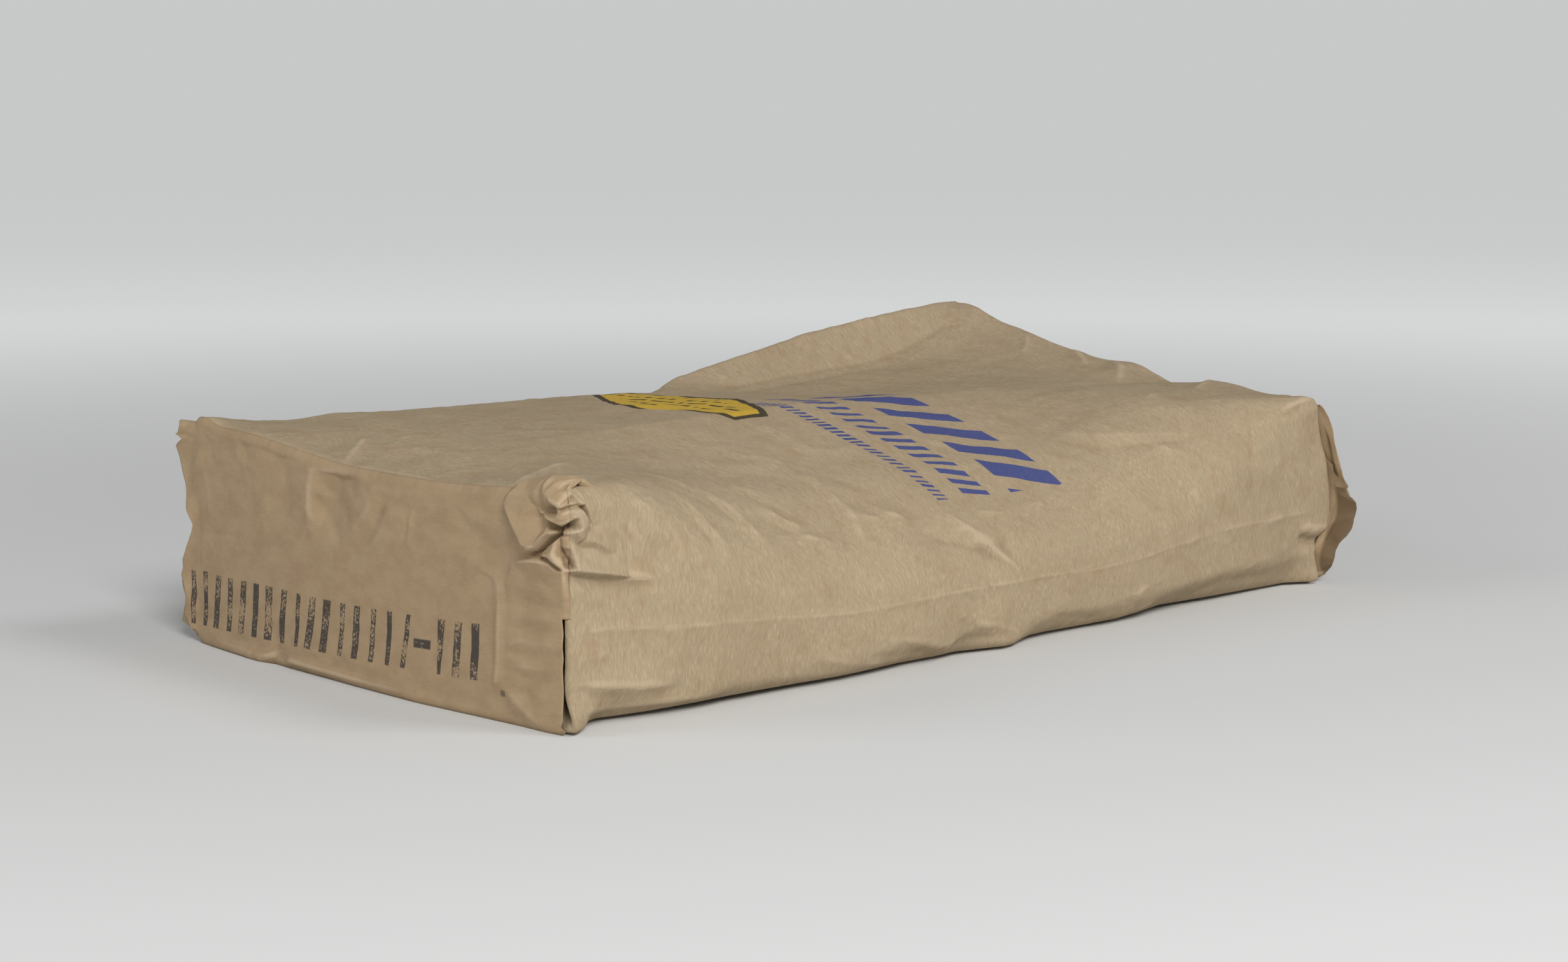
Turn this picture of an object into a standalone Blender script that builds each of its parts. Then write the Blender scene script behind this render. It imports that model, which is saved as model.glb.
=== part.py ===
"""Paper sack of sand, lying flat on its back panel.

The sack is a kraft paper tube whose two ends are folded into flat bottoms, each closed by a pasted
cover sheet. Its long way runs along X. The end at -X faces out flat and square. At the other end the
corner towards +Y is not filled, so its paper stands up as a raised rim.
The origin is the middle of the base that rests on the ground.
"""
import math

import bmesh
import bpy
import numpy as np

# Driving dimensions of the filled sack, in metres
LENGTH = 0.550
WIDTH = 0.293
HEIGHT = 0.107
PAPER = 0.0005
COVER_PAPER = 0.0004
CLEARANCE = 0.0003

# Cells of the surface lattice along, across and up the sack, closer together where it curves most
MAIN_CELLS_ALONG = 24
RIM_CELLS_ALONG = 3
SHOULDER_CELLS_ACROSS = 5
MAIN_CELLS_ACROSS = 8
RIM_CELLS_ACROSS = 3
EAR_CELLS = 2
ROW_HEIGHTS = (0.0, 0.009, 0.020, 0.031, 0.045, 0.060, 0.080, 0.098, HEIGHT)

# Rounding of the long edges, as (half width, height) at mid length; the ends have the end rounding
END_ROUNDING = 0.006
FRONT_SHOULDER = (0.050, 0.052)
REAR_SHOULDER = (0.024, 0.022)
FOOT_ROUNDING = (0.009, 0.009)
SHOULDER_RUN = 0.117
SHARP_REAR_RUN = 0.15

# The front foot edge draws in further near the valve end
UNDERCUT = (0.012, 0.005)
UNDERCUT_CENTRE = -0.195
UNDERCUT_SPREAD = 0.060

# The long sides swell out to a crease left by the flat tube
SIDE_SWELL = 0.007
CREASE_HEIGHT = 0.038
SIDE_RUN = 0.090

# The ends swell out at the foot, less at the top
END_SWELL_FOOT = 0.006
END_SWELL_TOP = 0.002
END_SWELL_REACH = 0.030

# The far corner at the front bulges out along the sack
CORNER_BULGE = 0.015
CORNER_BULGE_HEIGHT = 0.040
CORNER_BULGE_FOOT = 0.018
CORNER_BULGE_SPREAD = 0.030
CORNER_BULGE_REACH = 0.012

# Levels of the top panel, whose front falls away between the two ends
FRONT_LEVEL = 0.1065
REAR_LEVEL = 0.0035
FRONT_SLOPE = 0.235
FRONT_SLOPE_START = -0.015

# Swells and dips of the top panel, as (centre x, centre y, spread x, spread y, height)
TOP_SWELLS = (
    (0.025, -0.010, 0.200, 0.085, 0.0065),
    (0.200, -0.070, 0.070, 0.050, 0.0040),
    (0.112, 0.052, 0.088, 0.042, -0.0040),
    (-0.275, -0.058, 0.049, 0.078, -0.0070),
    (-0.275, 0.030, 0.030, 0.060, -0.0035),
)

# Raised corner: the fill rises towards it, and its two edges stand above the fill as rims
LIFT = 0.030
LIFT_POWER = 2.0
LIFT_START_X = 0.010
LIFT_START_Y = -0.044
RIM_LIFT = 0.044
RIM_RISE = 1.5
REAR_RIM_WIDTH = 0.034
FAR_RIM_WIDTH = 0.055
RIM_SLOPE = 1.25
RIM_LEAN = 0.012

# Reach of each cover's ear past the side of the sack, at each row height
NEAR_EAR = (0.0030, 0.0140, 0.0125, 0.0135, 0.0120, 0.0040, 0.0095, 0.0165, 0.0130)
FAR_EAR = (0.0030, 0.0095, 0.0125, 0.0160, 0.0152, 0.0095, 0.0077, 0.0045, 0.0020)
FAR_EAR_TURN = 0.005

# The valve, a slit in the folded end under its cover sheet
VALVE_CENTRE = (-0.105, 0.087)
VALVE_WIDTH = 0.060
VALVE_GAP = 0.0012
VALVE_REACH = 0.012

KRAFT_CREPED = (0.42, 0.30, 0.19)
KRAFT_SMOOTH = (0.37, 0.26, 0.16)
SAND = (0.55, 0.43, 0.28)


def smooth_ramp(value, low=0.0, high=1.0):
    """Rise from 0 to 1 with flat ends as a value goes from low to high."""
    t = min(max((value - low) / (high - low), 0.0), 1.0)
    return t * t * (3.0 - 2.0 * t)


def bell(value, spread):
    return math.exp(-(value / spread) ** 2)


def end_distance(x):
    return LENGTH / 2 - abs(x)


def lift_share(x, y):
    """How far a place lies towards the raised corner, along and across."""
    along = (x - LIFT_START_X) / (LENGTH / 2 - LIFT_START_X)
    across = (y - LIFT_START_Y) / (WIDTH / 2 - LIFT_START_Y)
    return min(max(along, 0.0), 1.0), min(max(across, 0.0), 1.0)


def rim_share(x, y):
    """1 on the two edges that meet at the raised corner, falling to 0 across the rim."""
    rear = max((WIDTH / 2 - END_ROUNDING - y) / REAR_RIM_WIDTH, 0.001)
    far = max(end_distance(x) / FAR_RIM_WIDTH, 0.001)
    nearest = (rear ** -3 + far ** -3) ** (-1 / 3)
    return max(1.0 - nearest, 0.0) ** RIM_SLOPE


def top_height(x, y):
    """Height of the top panel above the ground."""
    along, across = lift_share(x, y)
    lift = LIFT * along ** LIFT_POWER * across
    rim_top = RIM_LIFT * (1.0 - (1.0 - along) ** RIM_RISE) * across
    height = FRONT_LEVEL + lift + (rim_top - lift) * rim_share(x, y)
    height += REAR_LEVEL * smooth_ramp(y, 0.0, 0.11) * (1.0 - smooth_ramp(x, -0.03, 0.06))
    for centre_x, centre_y, spread_x, spread_y, swell in TOP_SWELLS:
        height += swell * bell(x - centre_x, spread_x) * bell(y - centre_y, spread_y)
    sloped = smooth_ramp(x, -0.255, -0.10) * (1.0 - smooth_ramp(x, 0.06, 0.20))
    return height - FRONT_SLOPE * max(FRONT_SLOPE_START - y, 0.0) * sloped


def rounded_section(x, y, z):
    """Round the four long edges of the flat box at one place along the sack."""
    share = smooth_ramp(end_distance(x) / SHOULDER_RUN)
    if z > HEIGHT / 2:
        full_y, full_z = FRONT_SHOULDER if y < 0 else REAR_SHOULDER
        if y >= 0:
            share *= 1.0 - smooth_ramp(lift_share(x, y)[0], 0.0, SHARP_REAR_RUN)
    else:
        under = bell(x - UNDERCUT_CENTRE, UNDERCUT_SPREAD) if y < 0 else 0.0
        full_y = FOOT_ROUNDING[0] + UNDERCUT[0] * under
        full_z = FOOT_ROUNDING[1] + UNDERCUT[1] * under
    round_y = END_ROUNDING + (full_y - END_ROUNDING) * share
    round_z = END_ROUNDING + (full_z - END_ROUNDING) * share
    centre_y = min(max(y, round_y - WIDTH / 2), WIDTH / 2 - round_y)
    centre_z = min(max(z, round_z), HEIGHT - round_z)
    off_y = (y - centre_y) / round_y
    off_z = (z - centre_z) / round_z
    reach = math.hypot(off_y, off_z)
    scale = max(abs(off_y), abs(off_z)) / reach if reach > 1e-9 else 1.0
    return centre_y + off_y * scale * round_y, centre_z + off_z * scale * round_z


def corner_bulge(x, y, z):
    """How far the far corner at the front stands out along the sack."""
    if x <= 0:
        return 0.0
    rise = smooth_ramp(z, CORNER_BULGE_FOOT, CORNER_BULGE_HEIGHT)
    fall = 1.0 - smooth_ramp(z, CORNER_BULGE_HEIGHT, HEIGHT)
    near = bell(y + WIDTH / 2, CORNER_BULGE_SPREAD) * math.exp(-end_distance(x) / CORNER_BULGE_REACH)
    return CORNER_BULGE * rise * fall * near


def form(x, y, z):
    """Place of the filled sack's surface for a point on the flat box."""
    section_y, section_z = rounded_section(x, y, z)
    middle = smooth_ramp(end_distance(x) / SIDE_RUN)
    along, across = lift_share(x, y)
    up = section_z / HEIGHT
    place_z = up * top_height(x, section_y)

    edge = min(abs(section_y) / (WIDTH / 2), 1.0)
    above = max(0.0, section_z - CREASE_HEIGHT) / (HEIGHT - CREASE_HEIGHT)
    below = max(0.0, CREASE_HEIGHT - section_z) / CREASE_HEIGHT
    swell = SIDE_SWELL * middle * edge ** 4 * (1.0 - above ** 1.5) * (1.0 - 0.55 * below ** 2)
    lean = RIM_LEAN * along * across * up ** 2 * edge ** 2
    place_y = section_y + math.copysign(swell, section_y) - (lean if section_y > 0 else 0.0)

    foot = END_SWELL_TOP + (END_SWELL_FOOT - END_SWELL_TOP) * (1.0 - up)
    bow = foot * (1.0 - edge ** 2) * math.exp(-end_distance(x) / END_SWELL_REACH)
    place_x = x + math.copysign(bow, x) + corner_bulge(x, y, place_z)
    return place_x, place_y, place_z


def runs(*stretches):
    """Evenly spaced values over stretches that follow each other, each given as (start, end, cells)."""
    values = [stretches[0][0]]
    for start, end, cells in stretches:
        values.extend(np.linspace(start, end, cells + 1)[1:].tolist())
    return values


def lattice_values():
    half_length = LENGTH / 2
    half_width = WIDTH / 2
    shoulder = FRONT_SHOULDER[0] - half_width
    rim_x = half_length - FAR_RIM_WIDTH
    rim_y = half_width - END_ROUNDING - REAR_RIM_WIDTH
    along = runs((-half_length, rim_x, MAIN_CELLS_ALONG), (rim_x, half_length, RIM_CELLS_ALONG))
    across = runs(
        (-half_width, shoulder, SHOULDER_CELLS_ACROSS),
        (shoulder, rim_y, MAIN_CELLS_ACROSS),
        (rim_y, half_width - END_ROUNDING, RIM_CELLS_ACROSS),
        (half_width - END_ROUNDING, half_width, 1),
    )
    return along, across, ROW_HEIGHTS


def add_cell(bm, corners, flip):
    """Two triangles over one lattice cell, always split from its first to its third corner."""
    a, b, c, d = corners
    for triangle in ((a, b, c), (a, c, d)):
        bm.faces.new(tuple(reversed(triangle)) if flip else triangle)


def sack_surface():
    """Closed outer surface of the sack as a triangle lattice."""
    bm = bmesh.new()
    values = lattice_values()
    counts = [len(axis_values) - 1 for axis_values in values]
    verts = {}

    def vert(*index):
        if index not in verts:
            verts[index] = bm.verts.new(form(*(values[axis][index[axis]] for axis in range(3))))
        return verts[index]

    for axis in range(3):
        first = (axis + 1) % 3
        second = (axis + 2) % 3
        for side in (0, counts[axis]):
            for i in range(counts[first]):
                for j in range(counts[second]):
                    corners = []
                    for di, dj in ((0, 0), (1, 0), (1, 1), (0, 1)):
                        index = [0, 0, 0]
                        index[axis] = side
                        index[first] = i + di
                        index[second] = j + dj
                        corners.append(vert(*index))
                    add_cell(bm, corners, side == 0)
    bm.normal_update()
    return bm


def shrink(bm, distance):
    """Move a closed surface inwards by an even distance."""
    moves = [vert.normal * (vert.calc_shell_factor() * distance) for vert in bm.verts]
    for vert, move in zip(bm.verts, moves):
        vert.co -= move
    bm.normal_update()


def make_material(name, colour, roughness):
    material = bpy.data.materials.new(name)
    material.use_nodes = True
    shader = material.node_tree.nodes["Principled BSDF"]
    shader.inputs["Base Color"].default_value = (*colour, 1.0)
    shader.inputs["Roughness"].default_value = roughness
    shader.inputs["Metallic"].default_value = 0.0
    return material


def add_object(name, bm, material):
    mesh = bpy.data.meshes.new(name)
    bm.to_mesh(mesh)
    bm.free()
    mesh.materials.append(material)
    obj = bpy.data.objects.new(name, mesh)
    bpy.context.collection.objects.link(obj)
    return obj


def add_thickness(obj, thickness, side):
    """Give a surface its paper thickness, outwards for side 1 and inwards for side -1."""
    solidify = obj.modifiers.new("paper thickness", "SOLIDIFY")
    solidify.thickness = thickness
    solidify.offset = side
    solidify.use_even_offset = True
    solidify.use_rim = True


def build_sand():
    bm = sack_surface()
    shrink(bm, PAPER + CLEARANCE)
    return add_object("sand_fill", bm, make_material("sand", SAND, 0.95))


def build_valve_cutter():
    bm = bmesh.new()
    bmesh.ops.create_cube(bm, size=1.0)
    bmesh.ops.scale(bm, vec=(2 * VALVE_REACH, VALVE_WIDTH, VALVE_GAP), verts=bm.verts)
    bmesh.ops.translate(bm, vec=(-LENGTH / 2, *VALVE_CENTRE), verts=bm.verts)
    cutter = add_object("valve_cutter", bm, make_material("cutter", SAND, 1.0))
    cutter.hide_render = True
    cutter.display_type = "WIRE"
    return cutter


def build_sack():
    sack = add_object("paper_sack", sack_surface(), make_material("creped_kraft", KRAFT_CREPED, 0.85))
    add_thickness(sack, PAPER, -1.0)
    slit = sack.modifiers.new("valve slit", "BOOLEAN")
    slit.operation = "DIFFERENCE"
    slit.solver = "EXACT"
    slit.object = build_valve_cutter()
    return sack


def build_cover(name, end, ear_side, ear_reaches, ear_turn):
    """Cover sheet over one folded end, with its ear standing past one long side."""
    bm = bmesh.new()
    across = lattice_values()[1]
    columns = [(y, 0.0) for y in across]
    ears = [(ear_side * WIDTH / 2, step / EAR_CELLS) for step in range(1, EAR_CELLS + 1)]
    columns = columns + ears if ear_side > 0 else list(reversed(ears)) + columns
    grid = []
    for y, ear_share in columns:
        column = []
        for z, reach in zip(ROW_HEIGHTS, ear_reaches):
            place = list(form(end * LENGTH / 2, y, z))
            place[0] += end * (CLEARANCE + ear_turn * ear_share ** 2)
            if ear_share:
                place[1] += ear_side * (CLEARANCE + ear_share * reach)
            column.append(bm.verts.new(place))
        grid.append(column)
    for i in range(len(columns) - 1):
        for j in range(len(ROW_HEIGHTS) - 1):
            corners = (grid[i][j], grid[i + 1][j], grid[i + 1][j + 1], grid[i][j + 1])
            add_cell(bm, corners, end < 0)
    bm.normal_update()
    cover = add_object(name, bm, make_material(name + "_kraft", KRAFT_SMOOTH, 0.75))
    add_thickness(cover, COVER_PAPER, 1.0)
    return cover


def main():
    for obj in list(bpy.data.objects):
        bpy.data.objects.remove(obj, do_unlink=True)
    build_sand()
    build_sack()
    build_cover("near_end_cover", -1, 1, NEAR_EAR, 0.0)
    build_cover("far_end_cover", 1, -1, FAR_EAR, FAR_EAR_TURN)


main()
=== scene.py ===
"""Looks of a paper sack of sand: creped kraft tube, smooth cover sheets with ears, plain print and worn stamp."""

import math
import random

import bmesh
import bpy
import numpy as np
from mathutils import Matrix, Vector, geometry, noise


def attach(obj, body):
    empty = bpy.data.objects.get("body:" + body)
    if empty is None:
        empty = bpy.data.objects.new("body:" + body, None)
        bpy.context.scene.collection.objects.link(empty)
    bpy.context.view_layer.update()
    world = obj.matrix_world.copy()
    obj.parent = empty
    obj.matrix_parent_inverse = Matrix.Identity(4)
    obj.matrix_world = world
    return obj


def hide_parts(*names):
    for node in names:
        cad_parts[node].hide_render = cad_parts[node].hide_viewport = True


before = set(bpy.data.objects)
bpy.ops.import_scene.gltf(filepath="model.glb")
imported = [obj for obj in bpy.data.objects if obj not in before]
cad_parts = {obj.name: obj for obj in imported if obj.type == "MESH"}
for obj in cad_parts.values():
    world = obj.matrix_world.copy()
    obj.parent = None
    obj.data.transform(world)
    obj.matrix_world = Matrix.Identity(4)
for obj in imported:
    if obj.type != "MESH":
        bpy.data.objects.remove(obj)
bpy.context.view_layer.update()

# Sizes of the filled sack in metres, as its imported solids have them
LENGTH = 0.550
WIDTH = 0.293
HEIGHT = 0.107
HALF = WIDTH / 2
MM = 0.001
COVER_PAPER = 0.0004
CLEARANCE = 0.0003


# Camera, from the photograph's perspective
CAMERA_PLACE = (-0.93248, -0.95195, 0.24200)
CAMERA_AZIMUTH = math.radians(44.198)
CAMERA_PITCH = math.radians(7.336)
CAMERA_LENS = 57.68


def make_camera():
    data = bpy.data.cameras.new("camera")
    data.sensor_width = 36.0
    data.lens = CAMERA_LENS
    data.clip_start = 0.01
    camera = bpy.data.objects.new("camera", data)
    bpy.context.scene.collection.objects.link(camera)
    flat = math.cos(CAMERA_PITCH)
    look = Vector((math.sin(CAMERA_AZIMUTH) * flat, math.cos(CAMERA_AZIMUTH) * flat, -math.sin(CAMERA_PITCH)))
    camera.location = CAMERA_PLACE
    camera.rotation_mode = "QUATERNION"
    camera.rotation_quaternion = look.to_track_quat("-Z", "Y")
    bpy.context.scene.camera = camera


# Smooth steps, falloffs and noise on arrays

def ramp(value, low=0.0, high=1.0):
    t = np.clip((value - low) / (high - low), 0.0, 1.0)
    return t * t * (3.0 - 2.0 * t)


def bell(value, spread):
    return np.exp(-(value / spread) ** 2)


def lumps(points, size, seed, octaves=2):
    """Smooth noise from about -1 to 1 at points in metres, with lumps of the given size."""
    scaled = points.reshape(-1, 3) / size + 13.7 * seed
    values = [noise.fractal(p, 1.0, 2.0, octaves) for p in scaled.tolist()]
    return np.array(values).reshape(points.shape[:-1])


def end_distance(x):
    return LENGTH / 2 - np.abs(x)


# Overall form of the filled sack, as a map from the flat box to its surface

END_ROUNDING = 0.006
END_EDGE = 0.0025
FRONT_SHOULDER = (0.050, 0.052)
REAR_SHOULDER = (0.024, 0.022)
FOOT_ROUNDING = (0.009, 0.009)
SHOULDER_RUN = 0.117
UNDERCUT = (0.012, 0.005)
UNDERCUT_CENTRE = -0.195
UNDERCUT_SPREAD = 0.060
SIDE_SWELL = 0.007
CREASE_HEIGHT = 0.038
SIDE_RUN = 0.090
END_SWELL_FOOT = 0.006
END_SWELL_TOP = 0.002
END_SWELL_REACH = 0.030
CORNER_BULGE = 0.015
CORNER_BULGE_HEIGHT = 0.040
LIFT = 0.030
LIFT_POWER = 2.0
RIM_LIFT = 0.044
RIM_RISE = 1.5
REAR_RIM_WIDTH = 0.034
FAR_RIM_WIDTH = 0.055
RIM_SLOPE = 1.25
LIFT_START_X = 0.010
LIFT_START_Y = -0.044
RIM_LEAN = 0.012
FRONT_SLOPE = 0.235
FRONT_SLOPE_START = -0.015
FRONT_LEVEL = 0.1065
REAR_LEVEL = 0.0035

# Swellings of the top panel, as (centre x, centre y, spread x, spread y, height) in millimetres
TOP_SWELLS = [
    (25, -10, 200, 85, 6.5),
    (200, -70, 70, 50, 4.0),
    (112, 52, 88, 42, -4.0),
    (-275, -58, 49, 78, -7.0),
    (-275, 30, 30, 60, -3.5),
    (275, -16, 32, 14, 3.2),
    (275, -80, 32, 20, 3.0),
    (275, 122, 40, 18, 3.4),
    (275, 30, 40, 26, -1.8),
    (-225, 118, 18, 30, -1.6),
    (-205, 118, 14, 30, 1.2),
    (-272, 138, 15, 11, 4.0),
]


def lift_share(x, y):
    """How far a place lies towards the raised corner, along and across."""
    along = (x - LIFT_START_X) / (LENGTH / 2 - LIFT_START_X)
    across = (y - LIFT_START_Y) / (HALF - LIFT_START_Y)
    return np.clip(along, 0.0, 1.0), np.clip(across, 0.0, 1.0)


def rim_share(x, y):
    """1 on the two edges that meet at the raised corner, falling to 0 across the rim."""
    rear = np.maximum((HALF - END_ROUNDING - y) / REAR_RIM_WIDTH, 0.001)
    far = np.maximum(end_distance(x) / FAR_RIM_WIDTH, 0.001)
    nearest = (rear ** -3 + far ** -3) ** (-1 / 3)
    return np.clip(1.0 - nearest, 0.0, 1.0) ** RIM_SLOPE


def top_height(x, y):
    along, across = lift_share(x, y)
    lift = LIFT * along ** LIFT_POWER * across
    rim_top = RIM_LIFT * (1.0 - (1.0 - along) ** RIM_RISE) * across
    height = FRONT_LEVEL + lift + (rim_top - lift) * rim_share(x, y)
    height += REAR_LEVEL * ramp(y, 0.0, 0.11) * (1.0 - ramp(x, -0.03, 0.06))
    for centre_x, centre_y, spread_x, spread_y, swell in TOP_SWELLS:
        height += swell * MM * bell(x - centre_x * MM, spread_x * MM) * bell(y - centre_y * MM, spread_y * MM)
    sloped = ramp(x, -0.255, -0.10) * (1.0 - ramp(x, 0.06, 0.20))
    return height - FRONT_SLOPE * np.clip(FRONT_SLOPE_START - y, 0.0, 1.0) * sloped


def rounded_section(x, y, z):
    """Round the four long edges of the flat box at each place along the sack."""
    middle = ramp(end_distance(x) / SHOULDER_RUN)
    along = lift_share(x, HALF)[0]
    high = z > HEIGHT / 2
    front = y < 0
    under = bell(x - UNDERCUT_CENTRE, UNDERCUT_SPREAD) * front
    foot_y = FOOT_ROUNDING[0] + UNDERCUT[0] * under
    foot_z = FOOT_ROUNDING[1] + UNDERCUT[1] * under
    full_y = np.where(high, np.where(front, FRONT_SHOULDER[0], REAR_SHOULDER[0]), foot_y)
    full_z = np.where(high, np.where(front, FRONT_SHOULDER[1], REAR_SHOULDER[1]), foot_z)
    sharp = 1.0 - ramp(along, 0.0, 0.15)
    share = middle * np.where(high & ~front, sharp, 1.0)
    round_y = END_ROUNDING + (full_y - END_ROUNDING) * share
    round_z = END_ROUNDING + (full_z - END_ROUNDING) * share
    centre_y = np.clip(y, round_y - HALF, HALF - round_y)
    centre_z = np.clip(z, round_z, HEIGHT - round_z)
    off_y = (y - centre_y) / round_y
    off_z = (z - centre_z) / round_z
    reach = np.hypot(off_y, off_z)
    square = np.maximum(np.abs(off_y), np.abs(off_z))
    scale = np.where(reach > 1e-9, square / np.maximum(reach, 1e-9), 1.0)
    return centre_y + off_y * scale * round_y, centre_z + off_z * scale * round_z


def form(x, y, z):
    """Place of the filled sack's surface for points on the flat box."""
    section_y, section_z = rounded_section(x, y, z)
    middle = ramp(end_distance(x) / SIDE_RUN)
    along, across = lift_share(x, y)
    up = section_z / HEIGHT
    edge = np.abs(section_y) / HALF
    above = np.clip(section_z - CREASE_HEIGHT, 0.0, None) / (HEIGHT - CREASE_HEIGHT)
    below = np.clip(CREASE_HEIGHT - section_z, 0.0, None) / CREASE_HEIGHT
    swell = SIDE_SWELL * middle * edge ** 4 * (1.0 - above ** 1.5) * (1.0 - 0.55 * below ** 2)
    lean = RIM_LEAN * along * across * up ** 2 * edge ** 2 * (section_y > 0)
    turned = np.clip(1.0 - end_distance(x) / END_EDGE, 0.0, 1.0)
    sink = END_EDGE * (1.0 - np.sqrt(1.0 - turned ** 2))
    place_y = section_y + np.copysign(swell, section_y) - lean - np.copysign(sink * edge ** 8, section_y)
    place_z = up * top_height(x, section_y) - sink * (2.0 * up - 1.0) ** 5
    foot = END_SWELL_TOP + (END_SWELL_FOOT - END_SWELL_TOP) * (1.0 - up)
    bow = foot * (1.0 - np.clip(edge, 0.0, 1.0) ** 2) * np.exp(-end_distance(x) / END_SWELL_REACH)
    bulge_z = ramp(place_z, 0.018, CORNER_BULGE_HEIGHT) * (1.0 - ramp(place_z, CORNER_BULGE_HEIGHT, 0.108))
    bulge = CORNER_BULGE * bulge_z * bell(y + HALF, 0.030) * np.exp(-end_distance(x) / 0.012) * (x > 0)
    place_x = x + np.copysign(bow, x) + bulge
    return np.stack([place_x, place_y, place_z], axis=-1)


# Creases on a sheet of paper

def line_distance(points, line):
    """Distance of points from a line, the side they lie on, and how far along it, from 0 to 1."""
    steps = np.diff(line, axis=0)
    lengths = np.hypot(*steps.T)
    runs = np.concatenate([[0.0], np.cumsum(lengths)])
    nearest = np.full(len(points), 1e9)
    side = np.ones(len(points))
    along = np.zeros(len(points))
    for start, step, length, run in zip(line[:-1], steps, lengths, runs):
        off = points - start
        share = np.clip(off @ step / length ** 2, 0.0, 1.0)
        gap = np.hypot(*(off - share[:, None] * step).T)
        closer = gap < nearest
        nearest = np.where(closer, gap, nearest)
        side = np.where(closer, np.sign(step[0] * off[:, 1] - step[1] * off[:, 0]), side)
        along = np.where(closer, run + share * length, along)
    return nearest, side, along / runs[-1]


class Relief:
    """Height of creases over a sheet of paper. Places, widths and heights are in millimetres."""

    def __init__(self, across, up):
        self.place = np.stack([across / MM, up / MM], axis=-1)
        self.height = np.zeros(across.shape)

    def crease(self, line, height, left, right, fade=0.3):
        """Raise a crease along a line, with flanks of its own width on its left and right."""
        line = np.array(line, dtype=float)
        reach = 5.0 * max(left, right)
        near = np.all((self.place > line.min(0) - reach) & (self.place < line.max(0) + reach), axis=-1)
        distance, side, along = line_distance(self.place[near], line)
        width = np.where(side > 0, left, right)
        flank = np.exp(-(np.hypot(distance, 0.7) - 0.7) / width)
        ends = ramp(along, 0.0, fade) * ramp(1.0 - along, 0.0, fade)
        self.height[near] += height * flank * ends

    def creases(self, rows):
        for row in rows:
            self.crease(*row)

    def scatter(self, seed, count, box, angles, lengths, heights, widths):
        """Short creases at random places in a box, each bent once."""
        draw = random.Random(seed)
        for _ in range(count):
            middle = np.array([draw.uniform(box[0], box[2]), draw.uniform(box[1], box[3])])
            angle = math.radians(draw.uniform(*angles))
            bend = math.radians(draw.uniform(-25, 25))
            half = 0.5 * draw.uniform(*lengths)
            first = middle - half * np.array([math.cos(angle), math.sin(angle)])
            last = middle + half * np.array([math.cos(angle + bend), math.sin(angle + bend)])
            height = draw.uniform(*heights) * draw.choice((1.0, 1.0, -0.7))
            self.crease([first, middle, last], height, draw.uniform(*widths), draw.uniform(*widths), 0.45)


class Folds:
    """Height of a sheet folded along lines and flat between them. Places and heights are in millimetres."""

    def __init__(self, box, lines, pitch=20.0, clear=12.0):
        low_a, low_b, high_a, high_b = box
        rim = [(low_a, low_b), (high_a, low_b), (high_a, high_b), (low_a, high_b), (low_a, low_b)]
        rows = [[(*place, 0.0) for place in rim]] + [list(line) for line in lines]
        drawn = np.array([point[:2] for line in rows[1:] for point in line], dtype=float)
        for a in np.arange(low_a + pitch / 2, high_a, pitch):
            for b in np.arange(low_b + pitch / 2, high_b, pitch):
                if np.min(np.hypot(*(drawn - (a, b)).T)) > clear:
                    rows.append([(a, b, 0.0)])
        places, heights, edges = [], [], []
        for row in rows:
            edges += [(len(places) + i, len(places) + i + 1) for i in range(len(row) - 1)]
            places += [Vector(point[:2]) for point in row]
            heights += [point[2] for point in row]
        corners, joins, faces, sources = geometry.delaunay_2d_cdt(places, edges, [], 0, 0.05)[:4]
        self.corners = np.array([tuple(corner) for corner in corners])
        self.faces = [list(face) for face in faces]
        self.heights = np.array([np.mean([heights[i] for i in source]) if source else np.nan for source in sources])
        for index in np.flatnonzero(np.isnan(self.heights)):
            around = [join[0] + join[1] - index for join in joins if index in join]
            self.heights[index] = np.nanmean(self.heights[around])

    def height(self, across, up):
        a, b = across / MM, up / MM
        result = np.zeros(np.shape(a))
        for face in self.faces:
            (a0, b0), (a1, b1), (a2, b2) = self.corners[face]
            area = (b1 - b2) * (a0 - a2) + (a2 - a1) * (b0 - b2)
            first = ((b1 - b2) * (a - a2) + (a2 - a1) * (b - b2)) / area
            second = ((b2 - b0) * (a - a2) + (a0 - a2) * (b - b2)) / area
            third = 1.0 - first - second
            inside = np.minimum.reduce([first, second, third]) > -1e-9
            height = first * self.heights[face[0]] + second * self.heights[face[1]] + third * self.heights[face[2]]
            result = np.where(inside, height, result)
        return result


def spread_out(height, rounds):
    """Average each value with its neighbours on the grid."""
    for _ in range(rounds):
        padded = np.pad(height, 1, mode="edge")
        height = (padded[:-2, 1:-1] + padded[2:, 1:-1] + padded[1:-1, :-2] + padded[1:-1, 2:]) / 4.0
    return height


def surface_normals(points):
    """Unit normals of a grid of points, as the first index crossed with the second."""
    first = np.gradient(points, axis=0)
    second = np.gradient(points, axis=1)
    normal = np.cross(first, second)
    return normal / np.maximum(np.linalg.norm(normal, axis=-1, keepdims=True), 1e-12)


# Meshes from grids

def grid_faces(rows, columns, flip=False):
    index = np.arange(rows * columns).reshape(rows, columns)
    quads = [index[:-1, :-1], index[1:, :-1], index[1:, 1:], index[:-1, 1:]]
    if flip:
        quads.reverse()
    return np.stack(quads, axis=-1).reshape(-1, 4).tolist()


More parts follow.
